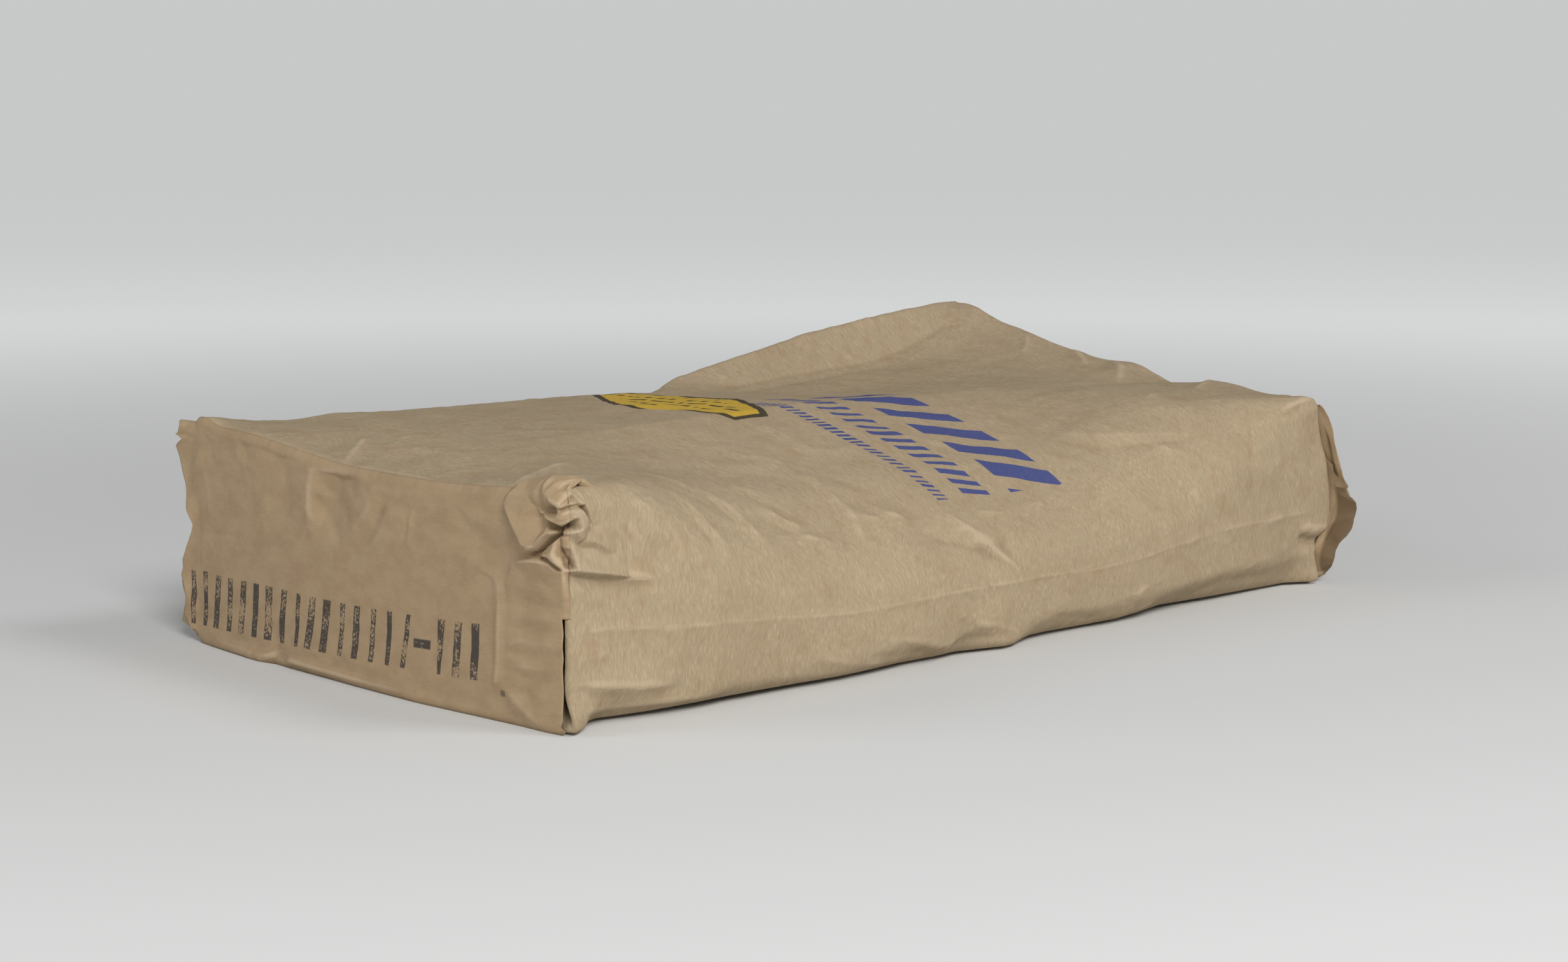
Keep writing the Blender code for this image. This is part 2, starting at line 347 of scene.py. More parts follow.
def mesh_object(name, points, faces, paper=None, crest=None):
    """A mesh object, with the paper's own coordinates as a UV map and its relief above and below the local mean as the
    crest attribute, for worn scuffs on crests and painted shade in hollows.
    """
    mesh = bpy.data.meshes.new(name)
    mesh.from_pydata(np.reshape(points, (-1, 3)).tolist(), [], faces)
    if paper is not None:
        layer = mesh.uv_layers.new(name="paper")
        corners = np.zeros(len(mesh.loops), dtype=np.int32)
        mesh.loops.foreach_get("vertex_index", corners)
        layer.data.foreach_set("uv", np.reshape(paper, (-1, 2))[corners].astype(np.float32).ravel())
    if crest is not None:
        mesh.attributes.new("crest", "FLOAT", "POINT").data.foreach_set("value", np.ravel(crest).astype(np.float32))
    mesh.update()
    obj = bpy.data.objects.new(name, mesh)
    bpy.context.scene.collection.objects.link(obj)
    return obj


def close_seams(obj, distance=0.00002):
    bm = bmesh.new()
    bm.from_mesh(obj.data)
    bmesh.ops.remove_doubles(bm, verts=bm.verts, dist=distance)
    bmesh.ops.recalc_face_normals(bm, faces=bm.faces)
    bm.to_mesh(obj.data)
    bm.free()
    obj.data.shade_smooth()


def finish_mesh(obj):
    """Bake an object's modifiers into its mesh."""
    evaluated = obj.evaluated_get(bpy.context.evaluated_depsgraph_get())
    baked = bpy.data.meshes.new_from_object(evaluated)
    obj.modifiers.clear()
    obj.data = baked


def add_thickness(obj, thickness, side=1.0):
    solidify = obj.modifiers.new("paper thickness", "SOLIDIFY")
    solidify.thickness = thickness
    solidify.offset = side
    solidify.use_even_offset = False
    finish_mesh(obj)


# Skin of the sack

FRONT_CELLS = 62
TOP_CELLS = 150
REAR_CELLS = 44
BASE_CELLS = 22
STATIONS = 334
CAP_RINGS = 6
CAP_DEPTH = 0.0075

# Creases of the skin, as (line of (x, distance round), height, left width, right width)
SKIN_CREASES = [
    ([(-280, 73), (-256, 69), (-236, 65), (-222, 64)], 2.6, 7.0, 1.1),
    ([(-240, 60), (-226, 58)], 0.8, 3.0, 1.0),
    ([(-280, 24), (-258, 20), (-240, 18), (-212, 16)], 2.0, 5.0, 1.2),
    ([(-276, 34), (-262, 33), (-250, 35)], 0.9, 3.0, 2.0),
    ([(-276, 10), (-252, 9), (-215, 8), (-182, 6)], 1.6, 4.0, 1.5),
    ([(200, 108), (206, 84), (205, 62), (208, 46)], -1.6, 8.0, 6.0),
    ([(236, 103), (262, 108), (276, 109)], 2.2, 6.0, 1.1),
    ([(252, 30), (266, 26), (279, 24)], -3.6, 1.6, 2.4),
    ([(250, 36), (266, 32), (284, 32)], 2.0, 4.0, 2.0),
    ([(-105, 28), (-70, 20), (-38, 8)], 1.2, 6.0, 4.0),
    ([(-142, 23), (-110, 14), (-80, 8)], 1.2, 6.0, 3.0),
    ([(30, 20), (60, 12), (85, 6)], -1.2, 5.0, 5.0),
    ([(-272, 46), (-225, 42), (-160, 46), (-42, 48), (40, 48), (135, 44), (229, 43), (268, 43)], 0.8, 1.6, 1.4, 0.02),
    ([(278, 184), (252, 172), (226, 160)], 1.5, 5.0, 2.5),
    ([(276, 260), (256, 236), (226, 214)], 2.0, 7.0, 3.0),
    ([(276, 290), (262, 270), (250, 256)], 1.6, 4.0, 2.0),
    ([(276, 328), (258, 312), (240, 300)], 1.3, 4.0, 3.0),
    ([(45, 372), (110, 370), (175, 366), (212, 370), (243, 374), (262, 362)], -2.0, 6.0, 10.0, 0.12),
    ([(-274, 148), (-240, 170), (-205, 182)], 1.4, 5.0, 3.0),
    ([(-275, 268), (-255, 288), (-232, 309)], 1.5, 4.0, 2.0),
    ([(-250, 272), (-226, 290), (-206, 296)], 0.9, 5.0, 3.0),
    ([(-274, 180), (-252, 200), (-236, 226)], -1.0, 5.0, 5.0),
]

# Sets of short creases of the skin, as (seed, count, box, angles, lengths, heights, widths)
SKIN_SCATTERS = [
    (11, 46, (-235, 85, 110, 185), (-62, -24), (22, 70), (0.25, 0.9), (2.5, 6.5)),
    (12, 22, (-262, 70, -210, 140), (-80, 10), (12, 34), (0.3, 1.0), (1.5, 4.0)),
    (13, 34, (-260, 150, 90, 330), (-40, 50), (18, 60), (0.15, 0.5), (2.0, 5.0)),
    (14, 20, (120, 110, 268, 330), (-70, 40), (20, 60), (0.2, 0.8), (2.5, 6.0)),
    (15, 34, (-270, 4, 250, 42), (-35, 35), (14, 46), (0.2, 0.8), (1.8, 4.5)),
    (16, 24, (-150, 50, 262, 84), (-70, -20), (16, 50), (0.2, 0.7), (2.5, 6.0)),
    (17, 16, (230, 60, 276, 110), (50, 130), (14, 36), (0.2, 0.7), (2.0, 5.0)),
    (18, 46, (-270, 396, 266, 500), (20, 160), (16, 60), (0.3, 1.1), (2.0, 6.0)),
    (19, 24, (40, 374, 270, 400), (40, 140), (10, 30), (0.2, 0.6), (2.0, 5.0)),
]

# Folds of the skin that meet at sharp edges, as lines of (x, distance round, height of the fold)
SKIN_FOLDS = [
    [(-40, 141, 0.3), (-33, 127, 1.6), (-27, 102, 3.2), (-20, 89, 3.8), (-11, 76, 3.0), (6, 57, 0.6)],
    [(-50, 128, 0.0), (-53, 94, -0.8), (-41, 85, -1.6), (-28, 78, -1.8), (-14, 72, -1.4), (2, 58, -0.2)],
    [(-20, 128, 0.2), (-8, 102, 0.4), (6, 84, 0.3), (20, 66, 0.0)],
    [(0, 73, -0.6), (4, 64, -1.0), (10, 56, -0.3)],
    [(-86, 143, 0.4), (-87, 126, 1.8), (-90, 104, 2.4), (-92, 90, 1.6), (-96, 78, 0.3)],
    [(-92, 144, 0.0), (-95, 126, -0.5), (-100, 104, -0.9), (-103, 92, -0.6)],
    [(-103, 82, 0.4), (-101, 71, 0.9), (-100, 60, 0.2)],
    [(-109, 83, -0.3), (-108, 71, -0.9), (-106, 62, -0.2)],
    [(-139, 131, 0.2), (-136, 123, 1.3), (-128, 114, 1.5), (-123, 107, 0.3)],
    [(-145, 126, 0.0), (-142, 116, -0.6), (-134, 106, -0.6), (-128, 104, 0.0)],
    [(-143, 102, 0.2), (-124, 100, 1.2), (-107, 95, 0.2)],
    [(-141, 92, -0.2), (-121, 88, -0.9), (-108, 86, 0.0)],
    [(-142, 148, 0.2), (-129, 142, 1.2), (-122, 128, 0.4)],
    [(-146, 142, 0.0), (-134, 134, -0.6), (-130, 124, -0.2)],
    [(-88, 163, 0.2), (-86, 152, 1.2), (-85, 146, 0.6)],
    [(-94, 160, 0.0), (-93, 150, -0.6)],
    [(-166, 144, 0.2), (-163, 124, 1.4), (-159, 104, 1.6), (-152, 82, 0.4)],
    [(-172, 142, 0.0), (-170, 124, -0.8), (-166, 104, -0.9), (-160, 82, -0.2)],
    [(-195, 132, 0.2), (-194, 106, 1.6), (-187, 86, 1.6), (-183, 70, 0.2)],
    [(-202, 130, 0.0), (-201, 106, -0.9), (-194, 86, -0.9), (-190, 70, 0.0)],
    [(-236, 112, 0.2), (-230, 97, 1.2), (-219, 84, 1.4), (-211, 68, 0.3)],
    [(-244, 108, 0.0), (-238, 92, -0.7), (-227, 78, -0.7), (-219, 64, 0.0)],
    [(-201, 76, 0.1), (-197, 65, 0.8), (-193, 57, 0.1)],
    [(-207, 75, 0.0), (-203, 64, -0.5), (-199, 56, 0.0)],
    [(104, 164, -0.2), (103, 148, -1.0), (117, 134, -1.2), (141, 121, -1.1), (161, 110, -1.0), (180, 108, -0.2)],
    [(112, 166, 0.2), (112, 152, 1.0), (124, 141, 1.3), (145, 128, 1.2), (163, 117, 0.9), (182, 114, 0.2)],
    [(140, 112, 0.0), (151, 93, -0.9), (156, 82, -0.2)],
    [(147, 114, 0.1), (159, 96, 1.0), (163, 84, 0.2)],
    [(84, 123, -0.1), (89, 106, -0.8), (91, 95, -0.1)],
    [(91, 122, 0.1), (96, 106, 0.8), (98, 95, 0.1)],
    [(140, 51, -0.3), (146, 68, -1.1), (158, 79, -0.4)],
    [(147, 50, 0.2), (153, 66, 1.0), (163, 74, 0.3)],
    [(176, 49, -0.3), (205, 55, -1.2), (229, 58, -0.8), (250, 60, 0.0)],
    [(190, 70, 0.3), (214, 72, 1.0), (236, 72, 0.6), (254, 70, 0.0)],
    [(-86, 26, 0.2), (-60, 20, 1.4), (-42, 11, 1.2)],
    [(-88, 18, -0.2), (-62, 12, -0.8), (-44, 4, -0.4)],
    [(-38, 24, 0.3), (-24, 23, 1.6), (-9, 20, 1.6), (11, 10, 0.5)],
    [(-36, 16, -0.5), (-22, 14, -1.0), (-6, 11, -0.9), (10, 4, -0.2)],
    [(150, 7, -0.4), (186, 13, -1.0), (218, 12, -1.0), (253, 15, -0.6)],
    [(150, 16, 0.4), (186, 22, 0.9), (218, 22, 0.9), (253, 26, 0.4)],
    [(-4, 101, 0.6), (10, 99, 1.0), (30, 101, 1.2), (55, 108, 0.4)],
    [(8, 92, -0.4), (30, 92, -0.6), (52, 99, -0.2)],
    [(-58, 233, 0.1), (-58, 208, 1.0), (-59, 186, 1.1), (-61, 165, 0.2)],
    [(-64, 232, 0.0), (-65, 208, -0.5), (-66, 186, -0.5)],
    [(-81, 128, 0.1), (-73, 107, 1.0), (-68, 86, 0.2)],
    [(-67, 132, 0.1), (-62, 112, 0.9), (-57, 100, 0.1)],
    [(-75, 127, 0.0), (-69, 108, -0.5), (-62, 90, -0.3)],
    [(-90, 345, 0.3), (-84, 300, 1.8), (-79, 262, 2.0), (-76, 236, 1.0), (-72, 215, 0.1)],
]
SKIN_FOLD_BOX = (-290, 1, 290, 430)
SKIN_FOLD_SCALE = 0.8

# How far the front foot tucks under, as (x, reach inwards) in millimetres
FOOT_TUCK = [
    (-275, -5), (-266, 0), (-258, 9), (-250, 12), (-243, 10), (-223, 5), (-197, 1), (-170, 0), (-138, 2), (-109, 2),
    (-70, 5), (-43, 4), (-29, 5), (-14, 1), (0, -3), (8, -2), (14, 1), (29, 7), (42, 8),
    (60, 7), (97, 5), (120, 8), (144, 13), (180, 10), (220, 9), (256, 7), (268, 0), (276, -5),
]
FOOT_TUCK_RISE = 0.020
FOOT_TUCK_RUN = 0.045


def girth_path():
    """Points round the flat box from the front foot edge, and their distances round it."""
    front = [(-HALF, z) for z in np.linspace(0.0, HEIGHT, FRONT_CELLS + 1)[:-1]]
    top = [(y, HEIGHT) for y in np.linspace(-HALF, HALF, TOP_CELLS + 1)[:-1]]
    rear = [(HALF, z) for z in np.linspace(HEIGHT, 0.0, REAR_CELLS + 1)[:-1]]
    base = [(y, 0.0) for y in np.linspace(HALF, -HALF, BASE_CELLS + 1)]
    path = np.array(front + top + rear + base)
    steps = np.hypot(*np.diff(path, axis=0).T)
    return path, np.concatenate([[0.0], np.cumsum(steps)])


def sack_stations():
    """Places along the sack, closest together at the near end."""
    x = np.linspace(-LENGTH / 2, LENGTH / 2, 1200)
    density = 1.0 + 0.9 * np.exp(-(x + LENGTH / 2) / 0.05) + 0.5 * np.exp(-(LENGTH / 2 - x) / 0.02)
    run = np.concatenate([[0.0], np.cumsum((density[1:] + density[:-1]) / 2)])
    return np.interp(np.linspace(0.0, run[-1], STATIONS), run, x)


def crumple(points, seed):
    """Soft buckles of filled paper, in millimetres: broad swells and ridges where facets meet."""
    broad = lumps(points, 0.070, seed)
    facets = 1.0 - 2.0 * np.abs(lumps(points, 0.034, seed + 1))
    small = 1.0 - 2.0 * np.abs(lumps(points, 0.012, seed + 2))
    return 0.9 * broad + 0.55 * facets + 0.16 * small


def skin_relief(x, v, points, folds):
    relief = Relief(x, v)
    relief.creases(SKIN_CREASES)
    for row in SKIN_SCATTERS:
        relief.scatter(*row)
    girth = 2 * HEIGHT + WIDTH
    resting = ramp(v, 0.0, 0.010) * (1.0 - ramp(v, girth - 0.012, girth))
    return (relief.height + SKIN_FOLD_SCALE * folds.height(x, v) + crumple(points, 3)) * resting


def foot_tuck(x, y, z):
    """How far the front foot is drawn in under the sack, for places on the flat box."""
    places, reaches = np.array(FOOT_TUCK, dtype=float).T
    reach = np.interp(x / MM, places, reaches) * MM
    return reach * (1.0 - ramp(z, 0.0, FOOT_TUCK_RISE)) * (1.0 - ramp(y + HALF, 0.0, FOOT_TUCK_RUN))


def cap_rings(points, path, stations, vertices, faces, papers, around):
    """Close both hidden ends with rings that shrink to a line, a little way inside."""
    columns = len(path)
    for end in (0, len(stations) - 1):
        ring = np.arange(columns) + end * columns
        edge = points[end]
        spine = edge.copy()
        spine[:, 1] = np.clip(edge[:, 1], HEIGHT / 2 - HALF, HALF - HEIGHT / 2)
        spine[:, 2] = HEIGHT / 2
        inwards = -np.sign(stations[end]) * CAP_DEPTH
        for step in range(1, CAP_RINGS + 1):
            place = edge + (spine - edge) * step / CAP_RINGS
            place[:, 0] += inwards
            new = np.arange(columns) + len(vertices)
            vertices.extend(place.tolist())
            papers.extend(np.stack([np.full(columns, stations[end]), around], axis=-1).tolist())
            quads = np.stack([ring[:-1], ring[1:], new[1:], new[:-1]], axis=-1)
            faces.extend((quads[:, ::-1] if end else quads).tolist())
            ring = new


def make_skin(folds):
    path, around = girth_path()
    stations = sack_stations()
    x, v = np.meshgrid(stations, around, indexing="ij")
    y = np.broadcast_to(path[:, 0], x.shape)
    z = np.broadcast_to(path[:, 1], x.shape)
    base = form(x, y, z)
    base[..., 1] += foot_tuck(x, y, z)
    height = skin_relief(x, v, base, folds)
    points = dent_valve_corner(base + surface_normals(base) * (height * MM)[..., None])
    points[:, -1] = points[:, 0]
    points[..., 2] = np.maximum(points[..., 2], 0.0)
    crest = height - spread_out(height, 10)
    faces = grid_faces(*x.shape)
    vertices = points.reshape(-1, 3).tolist()
    papers = np.stack([x, v], axis=-1).reshape(-1, 2).tolist()
    cap_rings(points, path, stations, vertices, faces, papers, around)
    crests = np.concatenate([crest.ravel(), np.zeros(len(vertices) - crest.size)])
    skin = mesh_object("paper_sack_skin", vertices, faces, papers, crests)
    close_seams(skin)
    return skin


# Cover sheets over the two folded ends

NEAR_WRAP_ROWS = ((0.0016, HEIGHT), (0.0008, HEIGHT))
FAR_EDGE_DROP = 0.0020
FOOT_WRAP = (0.0010, 0.0)
COVER_COLUMNS = 250
COVER_ROWS = 96
EAR_COLUMNS = 20
COVER_SEAT = 0.0007

# Reach of each ear past the side of the sack, as (height, reach) in millimetres
NEAR_EAR = [
    (0, 0), (3, 1.5), (5, 7), (9, 9), (13, 13), (17, 12), (22, 10), (27, 10.5), (33, 13.5), (37, 12.5), (41, 13.5),
    (46, 10.5), (51, 7.5), (57, 4.5), (60, 3.5), (63, 5.5), (67, 7.5), (75, 8.5), (80, 9.5), (88, 12.5), (96, 16.5),
    (99, 17.5), (101.5, 13.5), (102.5, 10.5), (104.5, 16.5), (106, 13),
]
NEAR_LINING = [
    (1, 0), (3, 6.5), (6, 8.5), (7, 12.5), (8, 19.5), (12, 18.5), (16, 16.5), (21, 12.5), (25, 15.5), (30, 18.5),
    (34, 12.5), (41, 11), (51, 6), (60, 2.5), (68, 6), (80, 8), (90, 12), (98, 14.5), (105, 11),
]
FAR_EAR = [
    (0, 0), (3, 1.5), (4, 6.5), (9, 9.5), (16, 12), (24, 13.2), (28, 15.6), (32, 16), (37, 14.2), (42, 15.2),
    (46, 15), (49, 13), (51, 10.5), (55, 9), (64, 7.5), (74, 6), (84, 5), (96, 3.5), (105, 1),
]
FAR_LINING = [
    (4, 0), (10, 4), (20, 7), (40, 9), (54, 9.5), (55.5, 11.4), (65, 10.6), (68, 9.7), (74, 8.2), (80, 7.8),
    (88, 7.5), (96, 5.8), (102, 3.4), (106, 1),
]

# Folds of the near cover, as lines of (across, height on the end, height of the fold)
NEAR_FOLDS = [
    [(14, 104, -2.6), (22, 90, -4.2), (29, 82, -4.4), (33, 74, -1.0), (36, 66, 0.0)],
    [(36, 104, 1.0), (38, 92, 2.0), (39, 82, 1.8), (39, 73, 0.4)],
    [(-14, 102, 0.8), (-9, 90, 1.4), (2, 78, 0.8), (14, 68, 0.0)],
    [(62, 104, -0.6), (60, 88, -0.5), (56, 74, 0.0)],
    [(-28, 100, 0.4), (-24, 90, 0.9), (-18, 78, 0.9), (-6, 66, 0.4), (6, 58, 0.0)],
    [(-21, 96, -0.3), (-17, 88, -0.7), (-11, 78, -0.6), (0, 68, -0.2)],
    [(-43.2, 98, 0.0), (-41, 88, 0.75), (-39.5, 78, 0.75), (-35, 68, 0.0)],
    [(-41.2, 98, 0.0), (-39, 88, 0.0), (-37.5, 78, 0.0)],
    [(-45.8, 98, 0.0), (-44, 88, 0.0), (-42.5, 78, 0.0)],
    [(104, 106, 0.6), (101, 98, 0.8), (99, 91, 0.0)],
    [(97, 105, -0.5), (95, 97, -0.4)],
    [(112, 105, 0.0), (112, 96, -0.2)],
    [(88, 104, 0.3), (80, 92, 0.4), (75, 82, 0.3)],
    [(73.5, 84, 0.1), (75.5, 76, 0.7), (79.5, 66, 0.1)],
    [(71, 80, -0.3), (72, 72, -0.3)],
    [(136, 100, 0.5), (142, 86, 1.0), (147, 74, 0.4), (152, 62, 0.0)],
    [(146, 100, -0.5), (151, 88, -0.6)],
    [(124, 100, -0.2), (128, 84, -0.5), (134, 66, -0.4), (140, 52, 0.0)],
    [(-60, 96, 0.4), (-84, 86, -0.8), (-106, 76, -0.6)],
    [(-72, 100, 0.0), (-86, 93, 0.5), (-104, 88, 0.4)],
    [(-66, 80, 0.0), (-84, 72, 0.8), (-99, 66, 0.6)],
    [(-101, 72, 0.2), (-103.5, 60, 1.0), (-103.5, 46, 1.3), (-103, 32, 1.3), (-102, 19, 1.4)],
    [(-98.5, 66, -0.1), (-99.5, 46, -0.1), (-99, 26, 0.0)],
    [(-106, 64, 0.1), (-118, 63, 0.9), (-132, 62, 0.7), (-146, 62, 0.5)],
    [(-107, 57, 0.0), (-120, 55.5, -0.5), (-146, 56, 0.2)],
    [(-107, 50.5, 0.2), (-120, 50, 0.6), (-134, 51, 0.9), (-146, 50, 0.7)],
    [(-107, 45, -0.1), (-124, 44, -0.5), (-146, 45, 0.1)],
    [(-107, 39.5, 0.2), (-121, 38.5, 0.9), (-135, 39.5, 0.6), (-146, 39, 0.8)],
    [(-107, 34, 0.0), (-123, 32.5, -0.4), (-146, 34, 0.2)],
    [(-107, 29, 0.2), (-121, 27.5, 0.8), (-133, 28, 0.4), (-146, 28, 0.8)],
    [(-107, 24, 0.1), (-124, 22.5, -0.3), (-146, 22, 0.3)],
    [(-102, 19, 1.4), (-116, 11, 1.9), (-130, 1, 1.6)],
    [(-103, 17, 0.3), (-124, 18, 0.2), (-146, 16, 0.4)],
    [(-121, 14, 0.1), (-133, 8, 0.6), (-146, 4, 0.8)],
    [(-98, 12, 0.0), (-110, 4, 0.2), (-118, 0, 0.4)],
    [(122, 7, 0.2), (98, 5, 0.6), (78, 4, 0.8), (66, 6, 0.0)],
    [(119, 2.5, 1.6), (98, 1, 2.4), (76, 0.2, 2.6)],
    [(62, 14, 0.0), (67, 7, -1.2), (64, 0.2, -1.0)],
    [(54, 6, 0.4), (30, 5, 0.8), (6, 5, 0.6), (-30, 4.5, 0.8), (-58, 4, 0.3), (-84, 5, 0.2)],
    [(54, 1.5, 1.8), (8, 1.2, 2.0), (-30, 0.8, 1.8), (-60, 0.6, 1.2), (-94, 0.8, 0.8)],
    [(150, 40, 0.2), (138, 38, 0.4), (124, 42, 0.0)],
    [(152, 18, 0.8), (140, 14, 0.0), (128, 15, 0.3)],
    [(158, 30, 0.9), (150, 26, -0.5), (140, 27, 0.0)],
]
NEAR_FOLD_BOX = (-150, -4, 172, 112)

# Creases of the near cover, as (line of (across, height), height, left width, right width)
NEAR_CREASES = [
    ([(146, 55), (138, 53.5), (124, 56), (108, 57), (93, 59)], -0.35, 0.8, 0.8, 0.1),
    ([(20, 60), (2, 57), (-14, 57)], 0.25, 0.9, 0.9),
    ([(142, 30), (141, 52), (143, 74)], -0.3, 1.0, 1.0),
    ([(140, 94), (133, 76), (131, 56)], 0.35, 1.4, 1.0),
    ([(72, 24), (66, 10), (56, 2)], -0.6, 3.0, 5.0),
]
NEAR_SCATTERS = [
    (31, 26, (-95, 8, 140, 100), (55, 125), (14, 46), (0.04, 0.16), (2.0, 6.0)),
    (32, 16, (-146, 20, -104, 68), (-20, 20), (12, 30), (0.1, 0.3), (0.8, 2.0)),
    (33, 16, (-140, 1, 140, 14), (-30, 30), (10, 36), (0.1, 0.4), (1.5, 3.5)),
    (34, 14, (120, 5, 160, 100), (40, 140), (8, 26), (0.1, 0.4), (1.2, 3.0)),
]
# Folds and creases of the far cover and its ear, told in the same way
FAR_FOLDS = [
    [(-168, 34, 1.4), (-158, 40, 1.6), (-148, 45, 0.4)],
    [(-168, 26, -1.0), (-156, 32, -1.2), (-147, 34, -0.2)],
    [(-162, 17, 1.2), (-154, 22, 1.6), (-147, 26, 0.4)],
    [(-160, 10, -0.8), (-153, 13, -0.9), (-147, 17, 0.0)],
    [(-155, 3, 2.0), (-151, 6, 1.4), (-147, 5, 0.2)],
    [(-146, 50, 0.2), (-110, 46, 1.6), (-60, 50, 0.2)],
    [(22, 119, 1.6), (10, 80, 2.2), (16, 40, 0.2)],
    [(90, 132, 1.4), (84, 90, 2.0), (92, 50, 0.2)],
    [(-60, 104, 1.2), (-74, 70, 1.8), (-66, 36, 0.0)],
    [(146, 40, 1.2), (118, 34, 1.6), (80, 30, 0.0)],
    [(60, 126, -0.4), (50, 90, -1.0), (46, 60, 0.0)],
    [(-20, 112, -0.6), (-24, 80, -1.0), (-16, 50, 0.0)],
    [(120, 138, 0.8), (124, 110, 1.2), (118, 84, 0.0)],
]
FAR_FOLD_BOX = (-172, -4, 150, 150)
FAR_CREASES = [
    ([(-166, 20), (-158, 24), (-148, 28)], 0.4, 0.8, 0.8),
    ([(-164, 44), (-156, 48), (-148, 52)], -0.4, 0.8, 0.8),
]
FAR_SCATTERS = [
    (41, 40, (-150, 8, 140, 125), (40, 140), (16, 60), (0.2, 0.9), (2.0, 5.0)),
    (42, 14, (-165, 10, -147, 100), (-30, 30), (6, 16), (0.4, 1.0), (1.2, 2.5)),
]


def reach_at(outline, height):
    """Reach of an ear at a height, between the points of its outline."""
    heights, reaches = np.array(outline, dtype=float).T
    return np.interp(height / MM, heights, reaches) * MM


def cover_rows(outline, wrap_rows):
    """Rows of a cover sheet from its top edge down, as (distance in from the end, height on the flat box)."""
    top = HEIGHT if wrap_rows else HEIGHT - FAR_EDGE_DROP
    turns = np.array([height * MM for height, _ in outline if 0 < height * MM < top])
    even = np.linspace(0.0, top, COVER_ROWS)
    even = even[np.min(np.abs(even[:, None] - turns), axis=1) > 0.0005]
    heights = set(even.tolist()) | set(turns.tolist()) | {0.0, top}
    upright = [(0.0, height) for height in sorted(heights, reverse=True)]
    return np.array([*wrap_rows, *upright, FOOT_WRAP])


def ripple(share, z, depth):
    """Waves of a loose edge, growing towards the edge."""
    return depth * share * (np.sin(z / 0.0068 + 1.1) + 0.6 * np.sin(z / 0.0031 + share * 2.0))


def cover_height(across, z, place, folds, creases, scatters, seed):
    """Height of a cover's folds over the end, in millimetres, kept outside the sack's own edges."""
    relief = Relief(across, z)
    relief.creases(creases)
    for row in scatters:
        relief.scatter(*row)
    height = relief.height + spread_out(folds.height(across, z), 1) + 0.3 * crumple(place, seed)
    inset = np.minimum(HALF - np.abs(across), np.minimum(z, HEIGHT - z)) / MM
    return np.maximum(height, -0.3 - 5.5 * ramp(inset, 1.0, 9.0))


def make_cover(name, end, ear_side, outline, wrap_rows, turn, wave, folds, creases, scatters, seed):
    """A sheet over one end of the sack, with its ear past one side."""
    rows = cover_rows(outline, wrap_rows)
    inner = np.linspace(-ear_side * (HALF + CLEARANCE), ear_side * HALF, COVER_COLUMNS)
    shares = np.linspace(0.0, 1.0, EAR_COLUMNS + 1)[1:]
    column_y = np.concatenate([inner, np.full(EAR_COLUMNS, ear_side * HALF)])
    column_share = np.concatenate([np.zeros(COVER_COLUMNS), shares])
    y = np.repeat(column_y[:, None], len(rows), axis=1)
    share = np.repeat(column_share[:, None], len(rows), axis=1)
    x = end * (LENGTH / 2 - np.broadcast_to(rows[:, 0], y.shape))
    z = np.broadcast_to(rows[:, 1], y.shape)
    place = form(x, np.clip(y, -HALF, HALF), z)
    reach = reach_at(outline, place[..., 2]) * share
    place[..., 1] += ear_side * reach
    bent = share ** 2 * (1.0 - ramp(place[..., 2], 0.046, 0.062)) if end > 0 else share ** 2
    place[..., 0] += end * turn * bent + ripple(share, place[..., 2], wave)
    across = place[..., 1]
    height = cover_height(across, z, place, folds, creases, scatters, seed)
    crest = height - spread_out(height, 8)
    place += surface_normals(place) * (COVER_SEAT + height * MM)[..., None]
    place = dent_valve_corner(place)
    place[..., 2] = np.maximum(place[..., 2], 0.0002)
    paper = np.stack([across, z], axis=-1)
    cover = mesh_object(name, place, grid_faces(*y.shape), paper, crest)
    add_thickness(cover, COVER_PAPER)
    cover.data.shade_smooth()
    return cover


def make_lining(name, end, ear_side, outline, setback, turn, wave):
    """The second layer of an ear, just behind the first."""
    heights = np.array(sorted({h * MM for h, _ in outline} | set(np.linspace(outline[0][0], outline[-1][0], 70) * MM)))
    shares = np.linspace(0.0, 1.0, EAR_COLUMNS)
    share, z = np.meshgrid(shares, heights[::-1], indexing="ij")
    place = form(np.full_like(z, end * LENGTH / 2), np.full_like(z, ear_side * HALF), z)
    place[..., 1] += ear_side * reach_at(outline, place[..., 2]) * share
    bent = share ** 2 * (1.0 - ramp(place[..., 2], 0.046, 0.062)) if end > 0 else share ** 2
    place[..., 0] += end * turn * bent + ripple(share, place[..., 2] + 0.004, wave)
    place[..., 0] -= end * setback * (0.4 + share)
    paper = np.stack([end * LENGTH / 2 - place[..., 1], place[..., 2]], axis=-1)
    lining = mesh_object(name, place, grid_faces(*z.shape), paper, np.zeros(z.shape))
    add_thickness(lining, COVER_PAPER, 0.0)
    lining.data.shade_smooth()
    return lining


# Crumpled corner over the filling valve: one sheet on the end and one on the side, meeting at the corner

CORNER_BOX = (-43, 50, 32, 115)
CORNER_CELL = 0.5
CORNER_SPLIT = 1.0
CORNER_SEAT = 0.0011
INWARD_RUN = 2.2
CORNER_SCALE = 1.3

